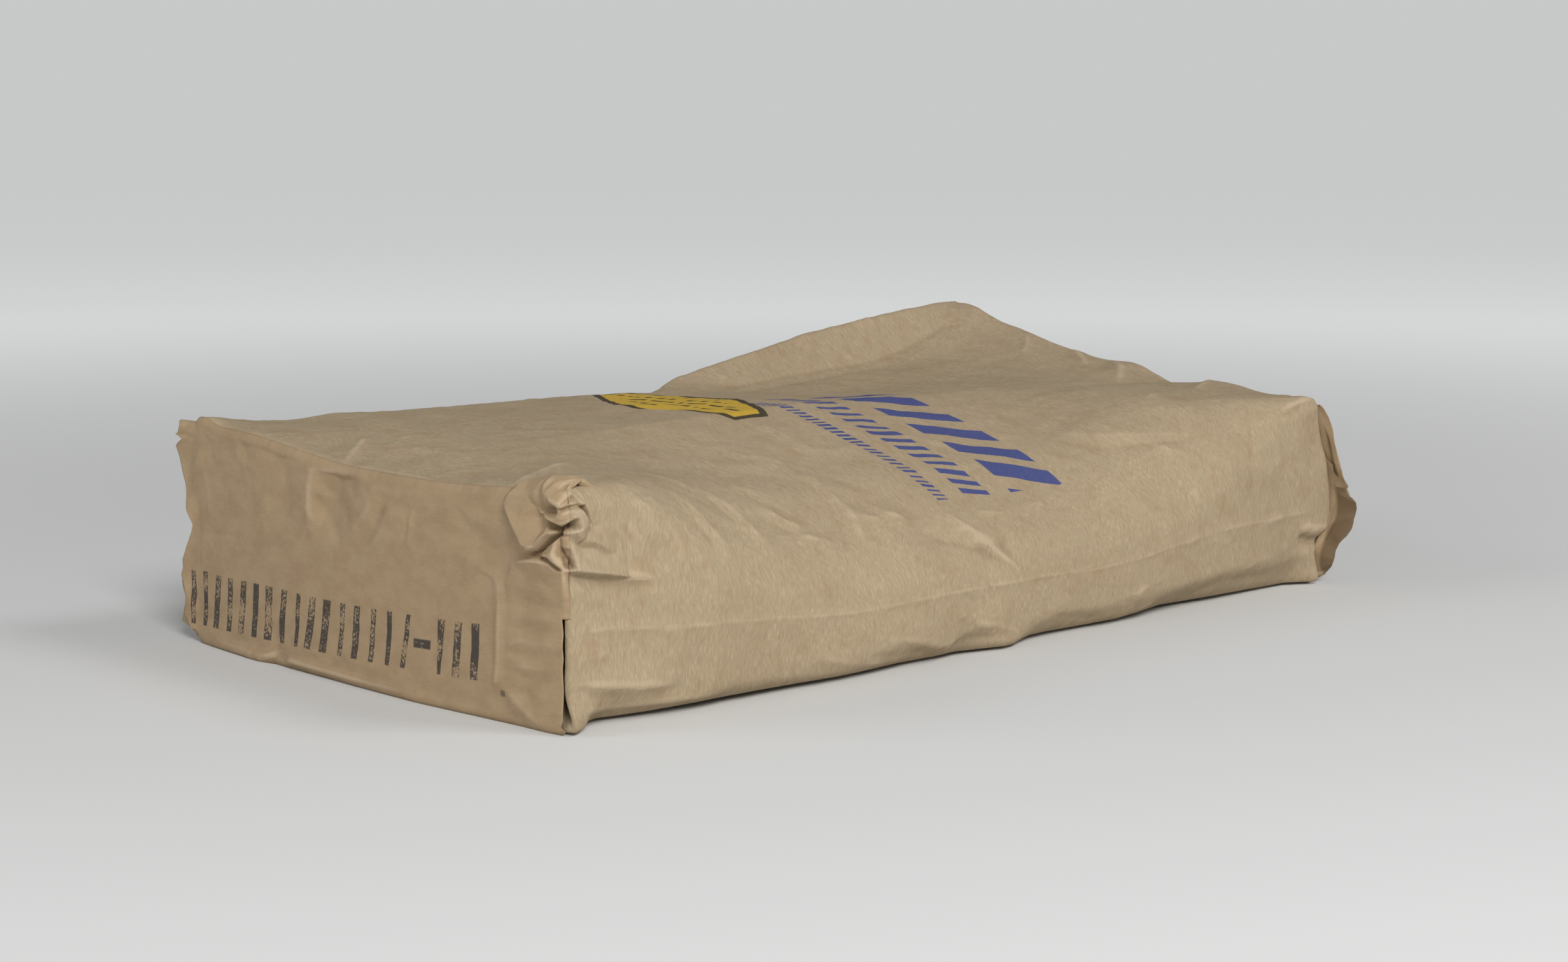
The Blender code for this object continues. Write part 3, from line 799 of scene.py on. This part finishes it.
# Folds of the corner, as lines of (distance past the corner, height on the end, height of the fold)
CORNER_FOLDS = [
    [(-36.5, 96.8, 2.4), (-28.5, 88.8, 4.2), (-20.6, 80.8, 5.2), (-21.7, 77.6, 2.6), (-19.2, 76.9, 0.0)],
    [(-40.0, 98.0, 0.2), (-34.5, 88.0, 0.2), (-29.5, 80.0, 0.0), (-27.0, 75.5, 0.0)],
    [(-36.5, 96.8, 2.4), (-25.0, 91.5, 2.9), (-11.9, 86.7, 1.6)],
    [(-36.5, 96.8, 2.4), (-22.0, 101.4, 1.4), (-16.3, 97.5, 0.6), (-15.0, 93.3, -0.6), (-11.9, 86.7, 1.6)],
    [(-22.0, 101.4, 1.4), (-27.6, 105.2, 3.6), (-17.0, 107.6, 4.4), (-5.0, 102.4, 5.0), (-0.9, 99.5, 5.6)],
    [(-37.0, 104.5, 0.4), (-27.6, 105.2, 3.6), (-14.7, 108.6, 4.2), (-4.1, 110.2, 3.6), (1.4, 108.6, 3.2)],
    [(-15.0, 93.3, -0.6), (-9.0, 96.6, -0.4), (-3.2, 97.3, -0.8), (-2.2, 98.2, -0.6)],
    [(-11.8, 95.4, 1.8), (-5.5, 93.3, 3.9), (0.1, 91.1, 4.2), (-1.6, 94.0, 4.2), (-0.9, 99.5, 5.6)],
    [(-9.6, 93.2, 0.8), (-8.0, 91.8, -1.6), (-2.4, 88.4, -4.5), (0.4, 90.2, -5.5)],
    [(-12.9, 89.6, 0.4), (-8.6, 90.0, 0.6)],
    [(-11.9, 86.7, 1.6), (-7.2, 88.2, 2.4), (-3.2, 87.3, 4.4), (-7.2, 84.8, 5.0), (-10.1, 82.4, 5.2)],
    [(-10.1, 82.4, 5.2), (-13.6, 79.6, 5.0), (-17.4, 78.0, 4.0), (-21.7, 77.6, 2.6)],
    [(0.9, 90.2, -5.5), (-2.2, 86.3, -6.0), (-6.3, 83.9, -4.4), (-9.2, 81.6, -4.0), (-12.8, 78.7, -4.0)],
    [(-12.8, 78.7, -4.0), (-14.6, 77.0, -6.0), (-18.4, 76.6, -5.0), (-19.2, 76.9, 0.0)],
    [(-13.0, 77.6, 0.6), (-8.0, 80.3, 1.2), (-4.0, 83.2, 1.0), (-2.4, 85.2, -0.8)],
    [(-13.0, 77.6, 0.6), (-11.1, 75.9, 2.0), (-7.6, 78.2, 1.8), (-3.8, 79.2, 2.6), (-2.4, 85.2, -0.8)],
    [(-11.1, 75.9, 2.0), (-6.5, 76.6, 3.2), (-3.2, 74.2, 3.4), (-0.4, 71.6, 3.2)],
    [(-3.8, 79.2, 2.6), (-3.0, 76.8, 3.4), (-0.9, 74.5, 3.6), (-0.4, 71.6, 3.2)],
    [(-2.0, 82.0, -0.6), (-1.0, 78.3, -3.4), (0.3, 74.7, -4.2), (1.4, 71.9, -3.2)],
    [(1.0, 85.4, 1.8), (1.9, 80.0, 2.4), (2.8, 75.4, 2.6), (3.4, 71.4, 2.4)],
    [(-32.0, 72.2, 0.0), (-22.5, 74.4, -0.8), (-14.0, 75.0, -1.6), (-6.9, 74.6, -1.4), (-1.4, 71.4, -0.8)],
    [(-33.0, 70.6, 0.6), (-22.5, 72.9, 1.8), (-14.0, 73.6, 2.1), (-7.2, 73.3, 2.0), (-2.0, 70.4, 1.5)],
    [(-37.0, 62.0, 0.3), (-20.0, 64.0, 0.2), (-6.0, 63.0, 0.3)],
    [(0.2, 71.2, 1.8), (0.2, 64.0, 0.8), (0.2, 57.0, 0.1)],
    [(1.0, 70.0, -0.7), (1.0, 64.0, -0.5), (1.0, 57.0, 0.0)],
    [(3.4, 66.0, 0.0), (3.0, 58.0, 0.0), (2.6, 50.6, 0.0)],
    [(0.2, 71.2, 1.8), (5.0, 70.6, 2.2), (12.0, 69.4, 2.0), (20.0, 67.8, 1.6), (30.0, 65.4, 0.8)],
    [(1.0, 68.2, -1.2), (5.0, 67.6, -1.4), (14.7, 65.6, -1.4), (24.0, 63.4, -1.1), (30.0, 62.0, -0.5)],
    [(2.0, 60.0, 0.0), (14.0, 58.0, 0.2), (28.0, 55.0, 0.0)],
    [(-0.9, 99.5, 5.6), (5.0, 98.6, 4.4)],
    [(-0.6, 98.4, 1.4), (5.0, 97.7, 1.2)],
    [(0.2, 97.2, 4.6), (5.2, 96.2, 4.4), (7.4, 93.0, 3.8), (9.6, 89.6, 2.6), (8.0, 84.6, 1.8)],
    [(0.1, 91.1, 4.2), (0.8, 87.6, 3.4), (2.2, 83.6, 1.2), (3.6, 81.8, 0.8)],
    [(2.8, 94.0, 5.4), (4.4, 88.6, 4.8), (5.0, 84.4, 3.4)],
    [(2.0, 101.6, 1.0), (5.9, 97.4, -1.8), (8.3, 93.6, -1.6), (11.0, 89.4, 0.0)],
    [(3.4, 102.4, 2.8), (7.4, 98.2, 3.0), (10.0, 94.0, 2.4), (13.0, 89.0, 1.2)],
    [(-0.9, 99.5, 5.6), (1.3, 102.0, 4.6), (-4.1, 110.2, 3.6)],
    [(1.3, 102.0, 4.6), (0.2, 105.6, 1.4), (-1.0, 109.0, 1.6)],
    [(1.3, 102.0, 4.6), (1.4, 108.6, 3.2)],
    [(1.3, 102.0, 4.6), (3.6, 105.0, 1.2), (5.4, 109.0, 1.0)],
    [(-5.0, 102.4, 5.0), (-9.0, 107.0, 2.0)],
    [(6.2, 82.5, 1.4), (12.6, 82.2, 2.0), (19.5, 78.4, 1.7), (26.0, 76.0, 0.4)],
    [(7.0, 79.6, 0.0), (13.0, 79.2, 0.1), (19.0, 75.4, 0.2)],
    [(12.0, 88.0, 0.8), (20.0, 90.0, 0.6), (27.0, 88.0, 0.0)],
    [(16.0, 97.0, 0.8), (24.0, 100.0, 0.2)],
    [(14.0, 73.0, 0.4), (24.0, 71.5, 0.6)],
    [(-37.0, 70.0, 0.0), (-41.0, 64.0, 0.2)],
]


def valve_dent(place):
    """How far the paper is pushed in under the crumpled corner."""
    gap = np.linalg.norm(place - np.array([-LENGTH / 2, -HALF, 0.084]), axis=-1)
    return 0.0095 * bell(gap, 0.020)


def dent_valve_corner(place):
    """Push points near the crumpled corner in towards the middle of the sack."""
    inwards = np.array([0.66, 0.72, -0.22])
    return place + inwards * valve_dent(place)[..., None]


def make_corner_sheets(folds, cover_folds, skin_folds):
    """Both sheets of the crumpled corner, the smooth one on the end and the creped one on the side."""
    left, low, right, high = CORNER_BOX
    up_values = np.arange(high, low - 0.01, -CORNER_CELL) * MM
    out_values = np.arange(right, left - 0.01, -CORNER_CELL) * MM
    w, up = np.meshgrid(out_values, up_values, indexing="ij")
    x_face = -LENGTH / 2 + np.clip(w, 0.0, None)
    y_face = -HALF - np.clip(w, None, 0.0)
    top = top_height(x_face, y_face)
    inward = np.clip(up - top, 0.0, None) * INWARD_RUN
    aside = ramp(w, -0.006, 0.010)
    x = x_face + inward * (1.0 - aside)
    y = y_face + inward * aside
    z = HEIGHT * np.clip(up / top, 0.0, 1.0)
    base = form(x, y, z)
    turn = ramp(w, -0.008, 0.008)
    over = ramp(up - top, -0.006, 0.005)
    outward = np.stack([-(1.0 - turn) * (1.0 - over), -turn * (1.0 - over), over], axis=-1)
    outward /= np.linalg.norm(outward, axis=-1, keepdims=True)
    v = np.where(inward > 0, HEIGHT + y + HALF, z)
    on_end = (1.0 - ramp(w, -0.0005, 0.0015)) * (1.0 - ramp(up - top, -0.002, 0.001))
    cover = CORNER_SEAT / MM + cover_height(y, z, base, cover_folds, NEAR_CREASES, NEAR_SCATTERS, 5)
    under = on_end * cover + (1.0 - on_end) * skin_relief(x, v, base, skin_folds)
    inset = np.minimum.reduce([w / MM - left, right - w / MM, up / MM - low, high - up / MM])
    fold = CORNER_SCALE * spread_out(folds.height(w, up), 1) * ramp(inset, 0.0, 4.0)
    crest = fold - spread_out(fold, 5)
    rim = 0.05 - 0.6 * (1.0 - ramp(inset, 0.0, 9.0))
    place = base + outward * ((under + fold + rim) * MM)[..., None]
    sheets = []
    cut = int(np.argmin(np.abs(out_values - CORNER_SPLIT * MM)))
    for name, part, first in (("corner_side_sheet", slice(None, cut + 1), x), ("corner_end_sheet", slice(cut, None), y)):
        paper = np.stack([first, v if first is x else z], axis=-1)
        rows, columns = w[part].shape
        sheet = mesh_object(name, place[part], grid_faces(rows, columns), paper[part], crest[part])
        add_thickness(sheet, COVER_PAPER, -1.0)
        sheet.data.shade_smooth()
        sheets.append(sheet)
    return sheets


# Shader expressions

def maths(operation, reflected=False):
    def apply(self, other):
        pair = (other, self) if reflected else (self, other)
        return self.paint.node("ShaderNodeMath", {"operation": operation}, dict(enumerate(pair)))
    return apply


class Value:
    """An output socket in a material, on which Python's operators add Math nodes."""

    def __init__(self, paint, socket):
        self.paint = paint
        self.socket = socket

    __add__ = maths("ADD")
    __radd__ = maths("ADD", True)
    __sub__ = maths("SUBTRACT")
    __rsub__ = maths("SUBTRACT", True)
    __mul__ = maths("MULTIPLY")
    __rmul__ = maths("MULTIPLY", True)
    __truediv__ = maths("DIVIDE")
    __mod__ = maths("FLOORED_MODULO")
    at_most = maths("MINIMUM")
    at_least = maths("MAXIMUM")

    def __abs__(self):
        return self.paint.node("ShaderNodeMath", {"operation": "ABSOLUTE"}, {0: self})

    def floor(self):
        return self.paint.node("ShaderNodeMath", {"operation": "FLOOR"}, {0: self})


class Paint:
    """One material's node tree; every node comes from its node method."""

    def __init__(self, name):
        self.material = bpy.data.materials.new(name)
        self.material.use_nodes = True
        self.tree = self.material.node_tree
        self.shader = self.tree.nodes["Principled BSDF"]

    def node(self, kind, settings=(), sockets=(), output=0):
        node = self.tree.nodes.new(kind)
        for name, value in dict(settings).items():
            setattr(node, name, value)
        for name, value in dict(sockets).items():
            if isinstance(value, Value):
                self.tree.links.new(value.socket, node.inputs[name])
            else:
                node.inputs[name].default_value = value
        return Value(self, node.outputs[output])

    def paper(self):
        """Both coordinates on the piece's own sheet of paper, in millimetres."""
        place = self.node("ShaderNodeUVMap", {"uv_map": "paper"})
        return tuple(self.node("ShaderNodeSeparateXYZ", (), {0: place}, axis) * 1000.0 for axis in (0, 1))

    def crest(self):
        return self.node("ShaderNodeAttribute", {"attribute_name": "crest"}, (), 2)

    def place(self, first, second, third=0.0):
        return self.node("ShaderNodeCombineXYZ", (), {0: first, 1: second, 2: third})

    def noise(self, place, detail=2.0, roughness=0.5, distortion=0.0):
        sockets = {"Vector": place, "Scale": 1.0, "Detail": detail, "Roughness": roughness, "Distortion": distortion}
        return self.node("ShaderNodeTexNoise", (), sockets)

    def chance(self, number):
        """The same random number from 0 to 1 for each whole number."""
        return self.node("ShaderNodeTexWhiteNoise", {"noise_dimensions": "1D"}, {"W": number})

    def step(self, value, low, high):
        """Smooth rise from 0 to 1 as a value goes from low to high."""
        sockets = {0: value, 1: low, 2: high, 3: 0.0, 4: 1.0}
        return self.node("ShaderNodeMapRange", {"interpolation_type": "SMOOTHSTEP"}, sockets)

    def band(self, value, low, high, soft):
        return self.step(value, low - soft, low + soft) * (1.0 - self.step(value, high - soft, high + soft))

    def mix(self, share, first, second):
        sockets = {0: share, 6: first, 7: second}
        return self.node("ShaderNodeMix", {"data_type": "RGBA"}, sockets, 2)

    def finish(self, colour, roughness, height, depth, specular=0.2):
        """Link what varies to the shader, with the height in millimetres as bump."""
        bump = self.node("ShaderNodeBump", (), {"Strength": 1.0, "Distance": depth, "Height": height})
        for name, value in (("Base Color", colour), ("Roughness", roughness), ("Normal", bump)):
            self.tree.links.new(value.socket, self.shader.inputs[name])
        self.shader.inputs["Specular IOR Level"].default_value = specular
        return self.material


# Colours, linear

KRAFT = (0.365, 0.280, 0.177, 1.0)
KRAFT_LIGHT = (0.525, 0.425, 0.285, 1.0)
KRAFT_WARM = (0.315, 0.205, 0.110, 1.0)
KRAFT_DARK = (0.235, 0.165, 0.096, 1.0)
KRAFT_RUST = (0.330, 0.190, 0.088, 1.0)
# Painted shade: a dark brown for the far ear's face, which lies in shade
EAR_PAINTED_SHADE = (0.125, 0.080, 0.042, 1.0)
SMOOTH_KRAFT = (0.375, 0.268, 0.157, 1.0)
SMOOTH_DARK = (0.295, 0.200, 0.110, 1.0)
SCUFF = (0.60, 0.47, 0.32, 1.0)
BLUE_INK = (0.045, 0.066, 0.215, 1.0)
OCHRE_INK = (0.56, 0.36, 0.035, 1.0)
BLACK_INK = (0.030, 0.028, 0.028, 1.0)


def print_rows(paint, x, v, ink):
    """Rows of plain slanted bars, as (low x, high x, pitch, slant) in millimetres; returns their cover from 0 to 1."""
    cover = 0.0
    for row, (low, high, pitch, slant) in enumerate(((30, 70, 25, 0.45), (-4, 14, 9.5, 0.3), (-26, -18, 4.6, 0.2))):
        run = (v + x * slant) / pitch
        width = 0.34 + 0.30 * paint.chance(run.floor() + 17.0 * row)
        within = run % 1.0
        edge = 0.35 / pitch
        bar = paint.step(within, 0.0, edge) * (1.0 - paint.step(within - width, 0.0, edge))
        cover = bar * paint.band(x, low, high, 0.3) + cover
    return cover * paint.band(v, 120.0, 272.0, 0.4) * ink


PANEL_CENTRE = (-40.0, 302.0)
PANEL_HALF = (38.0, 74.0)
PANEL_SLANT = 0.20
PANEL_CUT = (0.926, 0.376, 38.96)
PANEL_RIM = 4.5


def panel_depth(paint, x, v):
    """Distance in from the edge of a plain panel with cut corners."""
    off_x = abs(x - (v - PANEL_CENTRE[1]) * PANEL_SLANT - PANEL_CENTRE[0])
    off_v = abs(v - PANEL_CENTRE[1])
    corner = PANEL_CUT[2] - off_x * PANEL_CUT[0] - off_v * PANEL_CUT[1]
    return (PANEL_HALF[0] - off_x).at_most(PANEL_HALF[1] - off_v).at_most(corner)


def creped_kraft():
    """Creped kraft with its fur-like grain round the sack, plain print, worn crests and painted shade in the hollows
    of its creases.
    """
    paint = Paint("creped_kraft")
    x, v = paint.paper()
    sway = paint.noise(paint.place(x / 34.0, v / 46.0), 1.0) - 0.5
    curl = paint.noise(paint.place(x / 7.0, v / 11.0), 1.0) - 0.5
    across = x + 16.0 * sway + 2.4 * curl
    broad = paint.noise(paint.place(across / 1.9, v / 11.0), 3.0, 0.6)
    grain = paint.noise(paint.place(across / 0.68, v / 4.8), 3.0, 0.6)
    fine = paint.noise(paint.place(across / 0.36, v / 2.2, 7.0), 2.0, 0.6)
    fleck = paint.noise(paint.place(across / 2.4, v / 10.0, 11.0), 2.0, 0.6)
    blotch = paint.noise(paint.place(x / 13.0, v / 19.0, 3.0), 3.0, 0.6, 0.6)
    cloud = paint.noise(paint.place(x / 60.0, v / 70.0, 5.0), 2.0)
    colour = paint.mix(paint.step(grain, 0.40, 0.68) * 0.46, KRAFT, KRAFT_LIGHT)
    colour = paint.mix(paint.step(broad, 0.50, 0.74) * 0.32, colour, KRAFT_DARK)
    colour = paint.mix(paint.step(blotch, 0.50, 0.72) * 0.36, colour, KRAFT_WARM)
    colour = paint.mix(paint.step(fleck, 0.60, 0.74) * 0.42, colour, KRAFT_RUST)
    colour = paint.mix(paint.step(fine, 0.52, 0.78) * 0.30, colour, KRAFT_LIGHT)
    colour = paint.mix(paint.step(cloud, 0.35, 0.70) * 0.14, colour, KRAFT_DARK)
    crest = paint.crest()
    colour = paint.mix(paint.step(crest, 0.10, 0.75) * 0.36, colour, SCUFF)
    # Painted shade: hollows of the creases are darkened where shade falls in them
    colour = paint.mix(paint.step(0.0 - crest, 0.12, 0.7) * 0.40, colour, KRAFT_DARK)
    worn_edge = paint.step(x + 5.0 * cloud, -262.0, -272.0) * paint.band(v, 106.0, 398.0, 2.0)
    colour = paint.mix(worn_edge * 0.35, colour, SCUFF)
    ink = 0.94 - 0.45 * paint.step(fine, 0.58, 0.80)
    colour = paint.mix(print_rows(paint, x, v, ink), colour, BLUE_INK)
    depth = panel_depth(paint, x, v)
    colour = paint.mix(paint.step(depth, -0.3, 0.3) * ink, colour, OCHRE_INK)
    rim = paint.band(depth, 0.0, PANEL_RIM, 0.3)
    line = (x + 1.5) / 11.0
    dash = paint.step(paint.noise(paint.place(v / 5.0, line.floor() * 3.1), 0.0), 0.40, 0.44)
    rows = paint.band(line % 1.0, 0.32, 0.62, 0.03) * dash * paint.step(depth, 13.0, 13.6)
    colour = paint.mix((rim + rows).at_most(1.0) * ink, colour, BLACK_INK)
    marks = paint.noise(paint.place((x + v) / 2.4, (x - v) / 9.0), 2.0, 0.6)
    where = paint.band(x, -255.0, -120.0, 18.0) * paint.band(v, 250.0, 352.0, 14.0)
    colour = paint.mix(paint.step(marks, 0.72, 0.76) * where * 0.8, colour, BLACK_INK)
    height = grain * 0.5 + fine * 0.28 + broad * 0.5 + blotch * 0.35
    roughness = 0.80 + 0.12 * fine
    return paint.finish(colour, roughness, height, 0.00055)


STAMP_TILT = 0.038
STAMP_LOW = 8.0
STAMP_HIGH = 35.0


def stamp_cover(paint, y, z):
    """A worn row of plain upright bars with a dash, by a rubber stamp."""
    level = z + (y - 140.0) * STAMP_TILT
    wobble = paint.noise(paint.place(y / 9.0, z / 9.0, 2.0), 2.0) - 0.5
    run = (y + z * 0.10 + wobble * 1.6) / 12.4
    width = 0.30 + 0.24 * paint.chance(run.floor())
    within = run % 1.0 + (paint.chance(run.floor() + 40.0) - 0.5) * (level - 21.0) * 0.012
    side = within.at_most(width - within) * 12.4
    bars = paint.step(side, -0.05, 0.45) * paint.band(level, STAMP_LOW, STAMP_HIGH, 0.35)
    bars = bars * (paint.band(y, -42.0, 153.0, 0.4) + paint.band(y, -94.0, -61.0, 0.4))
    dash = paint.band(y, -56.0, -44.0, 0.4) * paint.band(level, 19.5, 24.0, 0.4)
    dot = paint.band(y, -108.0, -104.5, 0.5) * paint.band(z, 11.5, 14.5, 0.5)
    grain = paint.noise(paint.place(y / 1.1, z / 1.5, 4.0), 4.0, 0.7)
    patch = paint.noise(paint.place(y / 16.0, z / 13.0, 9.0), 1.0)
    worn = paint.step(grain + (patch - 0.5) * 0.55 + paint.step(side, 1.6, 0.0) * -0.10, 0.58, 0.50)
    return ((bars + dash).at_most(1.0) * worn * 0.90 + dot * 0.6).at_most(1.0)


def smooth_kraft(name, stamped):
    """Smooth kraft of the cover sheets, faintly cloudy, with scuffed crests, painted shade in the hollows of its
    creases, and either a stamp or painted shade over the far ear.
    """
    paint = Paint(name)
    y, z = paint.paper()
    cloud = paint.noise(paint.place(y / 15.0, z / 11.0), 4.0, 0.6)
    fibre = paint.noise(paint.place(y / 3.2, z / 0.8, 4.0), 3.0, 0.65)
    speck = paint.noise(paint.place(y / 0.9, z / 0.7, 8.0), 2.0, 0.6)
    colour = paint.mix(paint.step(cloud, 0.35, 0.68) * 0.55, SMOOTH_KRAFT, SMOOTH_DARK)
    colour = paint.mix(paint.step(fibre, 0.50, 0.75) * 0.22, colour, KRAFT_LIGHT)
    colour = paint.mix(paint.step(speck, 0.60, 0.80) * 0.18, colour, KRAFT_DARK)
    crest = paint.crest()
    colour = paint.mix(paint.step(crest, 0.06, 0.60) * 0.42, colour, SCUFF)
    # Painted shade: hollows of the creases are darkened where shade falls in them
    colour = paint.mix(paint.step(0.0 - crest, 0.12, 0.8) * 0.28, colour, KRAFT_DARK)
    if stamped:
        colour = paint.mix(stamp_cover(paint, y, z), colour, BLACK_INK)
    else:
        # Painted shade: the far ear past the side of the sack is darkened to stand in for the shade it lies in
        colour = paint.mix(paint.step(y, -147.0, -149.5) * 0.88, colour, EAR_PAINTED_SHADE)
    height = fibre * 0.25 + speck * 0.12 + cloud * 0.5
    return paint.finish(colour, 0.66 + 0.14 * fibre, height, 0.0004, 0.3)


# Stage and light

FLOOR_COLOUR = (0.69, 0.69, 0.68, 1)
FAR_GLOW = (0.415, 0.42, 0.42, 1)
SKY_COLOUR = (0.572, 0.583, 0.585, 1)
SKY_TOP = (0.20, 0.205, 0.21, 1)

def make_stage():
    """A wide pale floor that brightens with distance until it meets the pale background."""
    floor = mesh_object("floor", [(-16, -16, 0), (16, -16, 0), (16, 16, 0), (-16, 16, 0)], [(0, 1, 2, 3)])
    paint = Paint("floor")
    place = paint.node("ShaderNodeTexCoord", (), (), 3)
    distance = paint.node("ShaderNodeVectorMath", {"operation": "LENGTH"}, {0: place}, 1)
    glow = paint.mix(paint.step(distance, 0.1, 2.8), (0, 0, 0, 1), FAR_GLOW)
    paint.tree.links.new(glow.socket, paint.shader.inputs["Emission Color"])
    paint.shader.inputs["Emission Strength"].default_value = 1.0
    paint.shader.inputs["Base Color"].default_value = FLOOR_COLOUR
    paint.shader.inputs["Roughness"].default_value = 0.8
    paint.shader.inputs["Specular IOR Level"].default_value = 0.1
    floor.data.materials.append(paint.material)


def add_area(name, place, target, size, power, colour=(1, 1, 1)):
    data = bpy.data.lights.new(name, "AREA")
    data.shape = "RECTANGLE"
    data.size, data.size_y = size
    data.energy = power
    data.color = colour
    lamp = bpy.data.objects.new(name, data)
    bpy.context.scene.collection.objects.link(lamp)
    lamp.location = place
    lamp.rotation_mode = "QUATERNION"
    lamp.rotation_quaternion = (Vector(target) - Vector(place)).to_track_quat("-Z", "Y")


def make_light():
    """A pale even studio background, a large lamp from the right, and softer ones from the front and the left."""
    world = bpy.data.worlds.new("studio")
    bpy.context.scene.world = world
    world.use_nodes = True
    tree = world.node_tree
    background = tree.nodes["Background"]
    place = tree.nodes.new("ShaderNodeTexCoord")
    split = tree.nodes.new("ShaderNodeSeparateXYZ")
    tree.links.new(place.outputs["Generated"], split.inputs[0])
    level = tree.nodes.new("ShaderNodeMapRange")
    level.interpolation_type = "SMOOTHSTEP"
    level.inputs[1].default_value = 0.075
    level.inputs[2].default_value = 0.30
    tree.links.new(split.outputs[2], level.inputs[0])
    shade = tree.nodes.new("ShaderNodeMix")
    shade.data_type = "RGBA"
    shade.inputs[6].default_value = SKY_COLOUR
    shade.inputs[7].default_value = SKY_TOP
    tree.links.new(level.outputs[0], shade.inputs[0])
    tree.links.new(shade.outputs[2], background.inputs["Color"])
    background.inputs["Strength"].default_value = 1.0
    add_area("key", (-1.3, -2.2, 1.5), (-0.1, 0, 0.05), (0.9, 0.7), 55)
    add_area("right", (1.1, -2.4, 2.5), (0, 0, 0.05), (1.2, 1.0), 34)
    add_area("left", (-2.6, 1.4, 1.5), (0, 0, 0.05), (1.4, 1.2), 18)


def place_piece(piece, material, slot, *nodes):
    piece.data.materials.clear()
    piece.data.materials.append(material)
    if nodes:
        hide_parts(*nodes)
    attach(piece, "root")


bpy.context.scene.view_settings.view_transform = "Standard"
make_camera()
make_stage()
make_light()

creped = creped_kraft()
smooth = smooth_kraft("smooth_kraft", False)
stamped = smooth_kraft("stamped_kraft", True)

skin_folds = Folds(SKIN_FOLD_BOX, SKIN_FOLDS, 26.0, 15.0)
skin = make_skin(skin_folds)
near_folds = Folds(NEAR_FOLD_BOX, NEAR_FOLDS)
far_folds = Folds(FAR_FOLD_BOX, FAR_FOLDS)
near_cover = make_cover(
    "near_cover_sheet", -1, 1, NEAR_EAR, NEAR_WRAP_ROWS, 0.001, 0.0006, near_folds, NEAR_CREASES, NEAR_SCATTERS, 5
)
far_cover = make_cover(
    "far_cover_sheet", 1, -1, FAR_EAR, (), 0.005, 0.0008, far_folds, FAR_CREASES, FAR_SCATTERS, 8
)
near_lining = make_lining("near_ear_lining", -1, 1, NEAR_LINING, 0.0010, 0.001, 0.0007)
far_lining = make_lining("far_ear_lining", 1, -1, FAR_LINING, -0.0016, 0.006, 0.0008)
corner_side, corner_end = make_corner_sheets(
    Folds(CORNER_BOX, CORNER_FOLDS, 12.0, 7.0), near_folds, skin_folds
)

place_piece(skin, creped, "creped_kraft", "paper_sack", "sand_fill")
place_piece(near_cover, stamped, "smooth_kraft", "near_end_cover")
place_piece(far_cover, smooth, "smooth_kraft", "far_end_cover")
place_piece(near_lining, creped, "creped_kraft")
place_piece(far_lining, smooth, "smooth_kraft")
place_piece(corner_side, creped, "creped_kraft")
place_piece(corner_end, stamped, "smooth_kraft")
